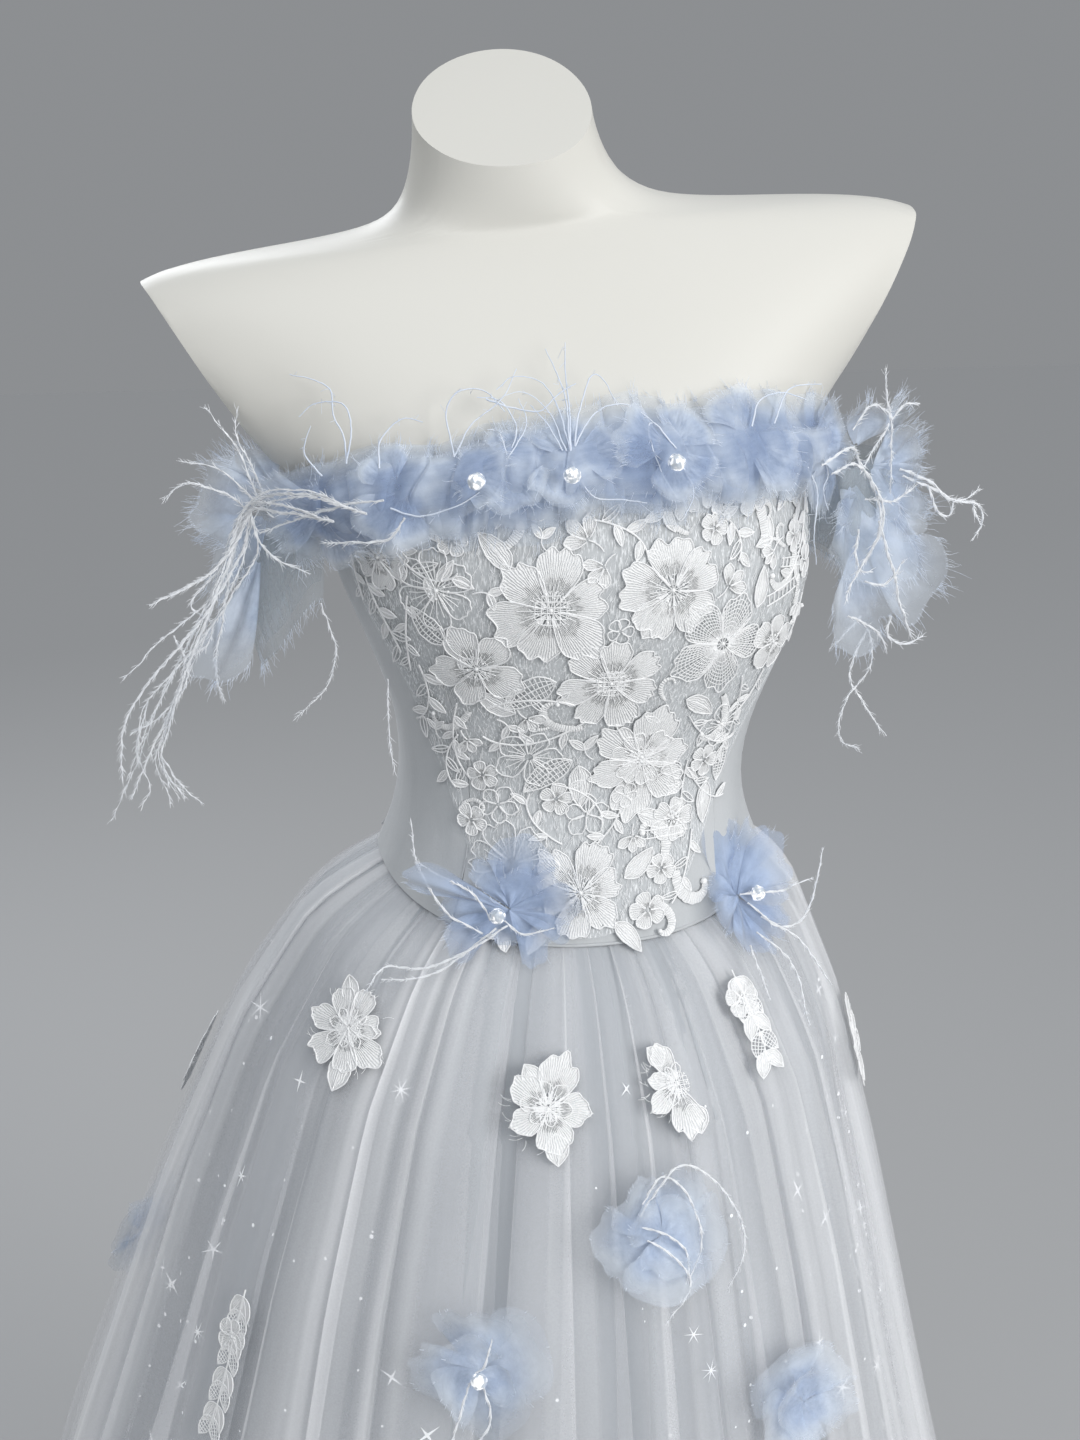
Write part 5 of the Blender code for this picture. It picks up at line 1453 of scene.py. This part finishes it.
RIGHT_WISPS = [
    [(-154, -60, 1206), (-149, -58, 1188), (-147, -56, 1172), (-153, -54, 1154), (-170, -52, 1136)],
    [(-118, -60, 1160), (-118, -58, 1138), (-117, -58, 1122), (-114, -58, 1102)],
    [(-184, -60, 1262), (-196, -56, 1292), (-212, -50, 1314)],
    [(-180, -62, 1262), (-190, -58, 1286), (-196, -54, 1300), (-194, -52, 1314)],
    [(-178, -62, 1256), (-204, -50, 1280), (-226, -44, 1284)],
    [(-214, -50, 1206), (-240, -47, 1186), (-262, -46, 1164)],
    [(-244, -46, 1118), (-236, -45, 1102), (-222, -44, 1086)],
    [(-250, -46, 1150), (-258, -45, 1122), (-252, -45, 1100), (-256, -45, 1088)],
]
LEFT_STRANDS = [
    [(118, -92, 1280), (140, -76, 1284), LEFT_KNOT, (162, -62, 1252), (164, -64, 1234), (156, -66, 1216)],
    [(126, -88, 1274), (144, -74, 1276), (158, -66, 1264), (166, -64, 1242), (160, -66, 1226),
     (148, -70, 1206), (144, -72, 1196)],
    [(164, -64, 1240), (172, -62, 1218), (182, -58, 1190), (192, -54, 1166)],
    [(176, -60, 1182), (176, -58, 1170), (188, -55, 1162), (200, -52, 1166)],
    [(158, -62, 1204), (172, -60, 1202), (182, -58, 1214)],
    [(146, -70, 1186), (158, -64, 1180), (170, -60, 1170), (176, -58, 1158)],
    [(156, -60, 1252), (176, -56, 1250), (190, -50, 1256)],
    [(152, -64, 1236), (150, -66, 1222), (154, -66, 1212), (162, -64, 1210)],
]
LEFT_HANGING = [
    [(170, -40, 1168), (162, -40, 1150), (161, -40, 1136), (168, -40, 1124), (176, -40, 1112),
     (186, -40, 1100)],
    [(170, -42, 1168), (174, -42, 1154), (172, -42, 1142), (160, -41, 1126), (155, -40, 1110),
     (157, -40, 1098), (170, -40, 1092)], [(164, -44, 1178), (154, -44, 1168), (146, -43, 1158)],
]
LEFT_OUTER = [
    [(186, -34, 1262), (206, -33, 1254), (218, -32, 1244), (230, -31, 1243), (238, -30, 1248)],
    [(188, -33, 1258), (208, -32, 1249), (222, -31, 1242), (236, -30, 1240), (241, -29, 1230),
     (236, -29, 1216)], [(204, -33, 1252), (212, -32, 1236), (220, -31, 1233), (222, -31, 1242)],
    [(234, -30, 1241), (236, -30, 1233), (240, -30, 1226)],
]
LEFT_TOP = [
    [(150, -50, 1290), (160, -44, 1302), (170, -40, 1300), (178, -36, 1292), (179, -36, 1270),
     (180, -36, 1248)], [(178, -37, 1292), (173, -38, 1308), (172, -38, 1322)],
    [(178, -36, 1292), (186, -34, 1300), (196, -32, 1300)],
    [(176, -37, 1290), (166, -42, 1276), (156, -50, 1264)],
]
groups = [("strands_right", RIGHT_STRANDS, RIGHT_WISPS), ("strands_left", LEFT_STRANDS + LEFT_HANGING, []),
          ("strands_left_outer", LEFT_OUTER + LEFT_TOP, [])]
yarn_rng = np.random.default_rng(77)
strays = []             # thinner yarns that run beside the main ones
for points in RIGHT_STRANDS[:4] + RIGHT_STRANDS[:2]:
    stray = np.cumsum(yarn_rng.normal(0, (0.0022, 0.0012, 0.0022), (len(points), 3)), axis=0)
    strays.append(np.array(points) / 1000 + stray - stray[0])
for number, (node, yarns, fine_yarns) in enumerate(groups):
    lines = []
    for k, points in enumerate(yarns):
        thick = 0.00085 if k < 4 else 0.00064
        lines += feathery(np.array(points) / 1000, 500 + 40 * number + k, thick, barbs=1.3, longest=0.0050)
    fine_lines = [np.array(points) / 1000 for points in fine_yarns] + (strays if fine_yarns else [])
    for k, points in enumerate(fine_lines):
        lines += feathery(points, 640 + k, thick=0.00046, barbs=0.8, longest=0.0050)
    threads(node + "_yarn", lines, yarn_white, [node])

# Springing wisps: angle round the form, height and distance out, in degrees and millimetres.
TUFTS = [
    [(-58, 1290, 14), (-59, 1303, 12), (-61, 1312, 11), (-63, 1326, 10), (-68, 1332, 10)],
    [(-58, 1290, 14), (-58, 1306, 12), (-60, 1318, 11), (-64, 1318, 10), (-66, 1312, 10)],
    [(-62, 1284, 14), (-65, 1296, 12), (-64, 1308, 11)],
    [(-52, 1286, 14), (-53, 1300, 12), (-50, 1310, 11), (-46, 1308, 11)],
    [(-38, 1290, 14), (-36, 1306, 13), (-30, 1318, 14), (-28, 1332, 14)],
    [(-38, 1290, 14), (-42, 1312, 13), (-40, 1322, 14), (-34, 1322, 14), (-28, 1312, 14)],
    [(-26, 1286, 15), (-25, 1304, 14), (-30, 1316, 14), (-36, 1318, 14)],
    [(-26, 1286, 15), (-23, 1306, 14), (-26, 1318, 14)],
    [(-34, 1318, 14), (-28, 1314, 14), (-20, 1311, 15), (-15, 1318, 15), (-9, 1324, 15)],
    [(-26, 1288, 15), (-29, 1302, 14), (-32, 1304, 14)],
    [(-10, 1290, 15), (-10, 1312, 15), (-11, 1330, 15), (-11, 1346, 15)],
    [(-10, 1290, 15), (-12, 1316, 15), (-16, 1330, 15), (-20, 1340, 15)],
    [(-10, 1290, 15), (-14, 1314, 15), (-20, 1326, 15), (-28, 1328, 15), (-32, 1322, 15)],
    [(-11, 1290, 15), (-16, 1310, 15), (-24, 1321, 15), (-30, 1320, 15)],
    [(-12, 1290, 15), (-17, 1305, 14), (-22, 1314, 14)],
    [(-9, 1292, 15), (-8, 1312, 15), (-4, 1328, 15), (0, 1326, 15), (4, 1314, 15)],
    [(-9, 1292, 15), (-6, 1304, 15), (0, 1312, 15), (8, 1312, 15), (15, 1302, 15)],
    [(-10, 1286, 15), (-5, 1272, 15), (2, 1270, 15), (8, 1268, 15)],
    [(18, 1290, 15), (14, 1304, 15), (12, 1298, 15), (13, 1280, 15), (16, 1268, 15)],
    [(18, 1288, 15), (20, 1272, 15), (17, 1262, 15)],
    [(40, 1300, 15), (44, 1314, 14), (50, 1318, 14), (56, 1314, 14)],
    [(46, 1302, 15), (52, 1320, 14), (60, 1322, 14)],
    [(58, 1282, 16), (62, 1272, 16), (60, 1262, 16), (63, 1248, 16)],
    [(52, 1280, 16), (56, 1262, 16), (54, 1240, 14), (57, 1222, 12)],
    [(-48, 1270, 16), (-42, 1266, 16), (-34, 1270, 16), (-30, 1276, 16)],
    [(-172, 1270, 12), (-168, 1290, 10), (-160, 1296, 10)], [(150, 1268, 12), (146, 1288, 10)],
    [(128, 1270, 12), (132, 1290, 10), (140, 1292, 10)], [(-140, 1262, 12), (-146, 1282, 10)],
    [(-120, 1258, 12), (-116, 1278, 10), (-110, 1284, 10)], [(112, 1272, 12), (108, 1292, 10)],
]
tufts = [line for k, places in enumerate(TUFTS)
         for line in wisp(chest.point(*(np.array(places) / (1, 1000, 1000)).T), 700 + k)]
threads("neckline_wisps", tufts, hair_blue)


# ---------------------------------------------------------------- waist flowers
# Two loose flowers of gathered blue tulle on the waist seam, each pinched round a crystal, with white yarns
# that run out over the skirt.

def surface_of(node, form, out):
    """A CAD node's middle laid on a surface: its angle and level, a point out from there, and its facing."""
    low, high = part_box(node)
    middle = (low + high) / 2
    angle = math.degrees(math.atan2(middle.x - AXIS, -middle.y))
    level = middle.z
    if isinstance(form, Hung):
        top = float(form.height(angle, 0.0))
        level = (top - middle.z) / (top - form.bottom)
    here = form.point(angle, level, out)
    return angle, level, here, (form.point(angle, level, out + 0.01) - here) / 0.01


def flower_yarns(node, form, lines, seed):
    """Yarns through places beside a flower's middle: millimetres to its left, up and out."""
    here, facing = surface_of(node, form, 0.006)[2:]
    across = unit(np.cross((0, 0, 1), facing))
    up = np.cross(facing, across)
    rng = np.random.default_rng(seed)
    yarns = []
    for k, places in enumerate(lines):
        bends = rng.normal(0, (0.0034, 0.0034, 0.0012), (len(places), 3))
        bends[0] = 0
        points = [here + across * x + up * y + facing * z for x, y, z in np.array(places) / 1000 + bends]
        yarns += feathery(points, seed + k, thick=0.00070, barbs=1.1, longest=0.0034)
    return yarns


WAIST_LOBES = {         # heading, length and spread of each
    "right": [(5, 40, 36), (46, 36, 34), (88, 38, 32), (130, 34, 36), (205, 24, 44), (240, 42, 22),
              (262, 44, 20), (290, 50, 12), (322, 30, 26), (20, 24, 40)],
    "left": [(352, 44, 30), (28, 46, 28), (62, 40, 30), (118, 36, 26), (152, 42, 26), (190, 36, 24),
             (300, 24, 34), (240, 22, 34), (36, 28, 40)],
}
WAIST_YARNS = {
    "right": [
        [(-10, -6, 6), (-30, 10, 6), (-46, 24, 6), (-52, 34, 6)],
        [(-14, -14, 6), (-36, 4, 8), (-52, 26, 6), (-60, 44, 6)],
        [(0, -8, 8), (-20, -20, 10), (-46, -28, 14), (-66, -34, 18), (-76, -46, 20), (-78, -58, 20)],
        [(-6, -10, 8), (-30, -30, 12), (-52, -38, 18), (-66, -42, 20)],
        [(-2, -6, 6), (10, -12, 6), (22, -12, 6)],
    ],
    "left": [
        [(-4, 0, 8), (14, -4, 10), (30, -3, 16), (44, 3, 20)],
        [(0, -6, 8), (16, -22, 12), (34, -18, 20), (52, 4, 22)], [(6, -16, 8), (20, -36, 14), (30, -62, 22)],
        [(-2, -24, 10), (8, -50, 18), (10, -84, 26)], [(-10, -30, 10), (-12, -60, 18)],
    ],
}
for side, fans in WAIST_LOBES.items():
    node = "waist_flower_" + side
    heart, facing = surface_of(node, chest, 0.004)[2:]
    lobes = [lobe(heart + facing * 0.0012 * (k % 4), facing, heading, length / 1000, spread, 200 + k,
                  cup=0.14, depth=0.0026, gathers=2, start=0.02)
             for k, (heading, length, spread) in enumerate(fans)]
    flower = cloth_patches(node + "_tulle", lobes, waist_tulle, [node])
    loose = threads(node + "_threads", frayed(lobes, 230, 9, 0.0040), hair_blue)
    yarns = threads(node + "_yarns", flower_yarns(node, chest, WAIST_YARNS[side], 260),
                    yarn_white)


# ---------------------------------------------------------------- skirt flowers
# Blue tulle flowers tacked to the outer skirt by their hearts. Each is four or five broad petals with three
# small ones over them. Some have white yarns that loop or hang from the heart.

SKIRT_YARNS = {
    "skirt_flower_1": [
        [(-10, 20, 4), (0, 30, 8), (16, 18, 8), (22, -8, 8), (10, -26, 8)],
        [(-12, 14, 4), (10, 34, 10), (34, 16, 12), (44, -12, 12), (36, -36, 10)],
        [(-14, 8, 4), (2, 4, 8), (14, -14, 8), (6, -40, 8)],
        [(-10, 0, 4), (6, -12, 8), (10, -30, 8), (-6, -46, 8)],
    ],
    "skirt_flower_2": [
        [(0, 0, 8), (-2, -20, 10), (-8, -44, 12), (-12, -70, 14)],
        [(2, 0, 8), (4, -22, 10), (0, -48, 12), (4, -78, 14)], [(0, 2, 8), (2, 14, 8), (4, 24, 8)],
    ],
    "skirt_flower_4": [
        [(0, 0, 8), (-6, -24, 10), (0, -52, 12)],
    ],
    "skirt_flower_5": [
        [(0, 0, 8), (8, -22, 10), (4, -56, 12)], [(0, 0, 8), (-12, 16, 10), (-26, 4, 10), (-20, -22, 10)],
    ],
}
for number in range(1, 7):
    node = f"skirt_flower_{number}"
    heart, facing = surface_of(node, plain.form, 0.004)[2:]
    low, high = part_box(node)
    size, turn, petals = (high.z - low.z) / 2 * 1.06, 37 * number, 5 if number % 2 else 4
    lobes = [lobe(heart + facing * 0.0014 * (k % 3), facing, turn + 360 * k / petals, size, 230 / petals,
                  300 + 9 * number + k, cup=0.14, depth=0.0020, gathers=1, start=0.03) for k in range(petals)]
    lobes += [lobe(heart + facing * 0.004, facing, turn + 30 + 360 * k / 3, size * 0.62, 56,
                   340 + 9 * number + k, cup=0.34, depth=0.0020, gathers=1, start=0.03) for k in range(3)]
    flower = cloth_patches(node + "_tulle", lobes, petal_tulle, [node])
    parts = [threads(node + "_threads", frayed(lobes, 400, 6, 0.0018), hair_blue)]
    if node in SKIRT_YARNS:
        yarns = flower_yarns(node, plain.form, SKIRT_YARNS[node], 440 + number)
        parts.append(threads(node + "_yarns", yarns, yarn_white))


# ---------------------------------------------------------------- skirt lace
# Cut-out lace flowers and leaves of the same corded lace, tacked flat on the outer skirt.

LACE_OUT = 0.0028       # how far out the skirt's lace lies


def applique(node, seed):
    """Lace to be sewn round a CAD node's middle, and how its flat places go on the skirt there."""
    angle, level, heart, _ = surface_of(node, plain.form, LACE_OUT)
    radius = np.hypot(heart[0] - AXIS, heart[1])
    fall = np.linalg.norm(plain.form.point(angle, level + 0.01, LACE_OUT) - heart) / 0.01

    def sewn(places):
        places = np.asarray(places, float)
        angles, levels = angle + np.degrees(places[:, 0] / radius), level - places[:, 1] / fall
        return plain.form.point(angles, levels, LACE_OUT + places[:, 2])
    return Lace(seed), sewn


SKIRT_LACE = {          # size, petals, turn, tips, and how much of the way round they go
    "lace_flower_1": (0.027, 7, 10, "mixed", 360), "lace_flower_2": (0.025, 5, 20, "point", 360),
    "lace_flower_3": (0.023, 4, 180, "point", 210), "lace_flower_4": (0.024, 6, 0, "mixed", 360),
    "lace_flower_5": (0.024, 5, 30, "point", 360), "lace_flower_6": (0.024, 6, 15, "point", 360),
    "lace_flower_7": (0.025, 7, 0, "mixed", 360), "lace_flower_8": (0.023, 5, 50, "mixed", 360),
}
for number, (node, (size, petals, turn, tip, arc)) in enumerate(SKIRT_LACE.items()):
    lace, sewn = applique(node, 60 + number)
    lace.lengths = 0.74, 1.12
    lace.flower((0.0, 0.0), size, petals, turn, tip, "stitch", "lattice", 0.16, arc)
    lace.flower((0.0, size * 0.04), size * 0.52, petals + 1, turn + 24, "point", "veins", "open", arc=arc)
    lace.leaf((0.004, -size * 0.55), 168, size * 0.75, 0.013, 12, "stitch", 0.12)
    lace.leaf((-0.006, size * 0.5), 330, size * 0.6, 0.012, -12, "stitch", 0.12)
    for _ in range(22):             # loose threads round its edge
        way = turn + lace.rng.uniform(0, arc if arc == 360 else arc * (petals - 1) / petals)
        start = path((0, 0), way, size * 0.8, steps=3)[-1]
        heading, length = way + lace.rng.normal(0, 30), lace.rng.uniform(0.003, 0.008)
        lace.cord(path(start, heading, length, 60, steps=5), 0.00013)
    stitched, corded = lace.sew(node + "_lace", sewn, [node])
for number, (node, length) in enumerate((("lace_leaf_1", 0.050), ("lace_leaf_2", 0.088))):
    lace, sewn = applique(node, 80 + number)
    stem = lace.vine((0.002, length / 2), 182, length, -10, 20, 0)
    for k in range(round(length / 0.011)):
        at = stem[min(len(stem) - 1, round((k + 0.3) / (length / 0.011) * len(stem)))]
        for side in (-1, 1):
            fill = "stitch" if (k + side) % 2 else "lattice"
            lace.leaf(at, 180 + side * 38, 0.016, 0.009, -20 * side, fill, 0.12)
    lace.flower((0.0, length * 0.16), 0.011, 5, 10, "round")
    stitched, corded = lace.sew(node + "_lace", sewn, [node])


# ---------------------------------------------------------------- zip
# A closed nickel zip down the back seam: two rows of teeth on woven tapes, with a slider at the top and a
# pull tab that hangs from it and swings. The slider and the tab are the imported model's own parts.

nickel = Finish("zip_nickel", 0.28, 1.0)
scuffs = nickel.noise(nickel.place, 260.0, 3.0)
nickel.tint(scuffs, (0.58, 0.57, 0.55), (0.78, 0.77, 0.75))
nickel.feed("Roughness", scuffs * 0.22 + 0.18)
tape_cloth = Finish("zip_tape", 0.75, Sheen_Weight=0.2)
rib = tape_cloth.cloth.node("ShaderNodeTexWave", {"bands_direction": "X"}, 1, Vector=tape_cloth.cloth,
                            Scale=9.0)
tape_cloth.tint(rib, (0.48, 0.51, 0.53), (0.60, 0.63, 0.65))
tape_cloth.bump(rib, 0.0004, 0.5)
for node in ("zip_slider", "zip_pull"):
    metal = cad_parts[node].data
    metal.materials.clear()
    metal.materials.append(nickel.material)
TAPE_WIDTH, PITCH = 0.0100, 0.0016
TOOTH = (0.0026, 0.0011, 0.0009)
chain = places_of(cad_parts["zip_chain"].data)
chain_low, chain_high = chain[:, 2].min(), chain[:, 2].max()
rows = np.linspace(chain_low + 0.004, chain_high - 0.004, 40)
near = [chain[np.abs(chain[:, 2] - row) < 0.012] for row in rows]
seam = np.array([((points[:, 0].min() + points[:, 0].max()) / 2, points[:, 1].max()) for points in near])
for _ in range(6):
    seam[1:-1] = (seam[:-2] + 2 * seam[1:-1] + seam[2:]) / 4


def on_seam(height):
    return [np.interp(height, rows, seam[:, axis]) for axis in (0, 1)]


def tape_shape(u, v):
    height = chain_low + (chain_high - chain_low) * v
    x, y = on_seam(height)
    return np.column_stack([x + (u - 0.5) * TAPE_WIDTH, y - 0.0006 - 0.0006 * np.abs(u - 0.5), height])


tape = cloth_patches("zip_tape", [(8, 90, tape_shape)], tape_cloth, ["zip_chain"])
teeth_bm = bmesh.new()
for number in range(int((chain_high - chain_low - 0.012) / PITCH)):
    height = chain_low + 0.004 + number * PITCH
    x, y = on_seam(height)
    at = Vector((x + (0.0007 if number % 2 else -0.0007), y, height))
    bmesh.ops.create_cube(teeth_bm, size=1.0, matrix=Matrix.Translation(at) @ Matrix.Diagonal((*TOOTH, 1.0)))
bmesh.ops.bevel(teeth_bm, geom=teeth_bm.edges[:], offset=0.00018, affect="EDGES", segments=1, profile=0.5,
                material=-1)
piece_of("zip_teeth", teeth_bm, nickel, smooth=False)
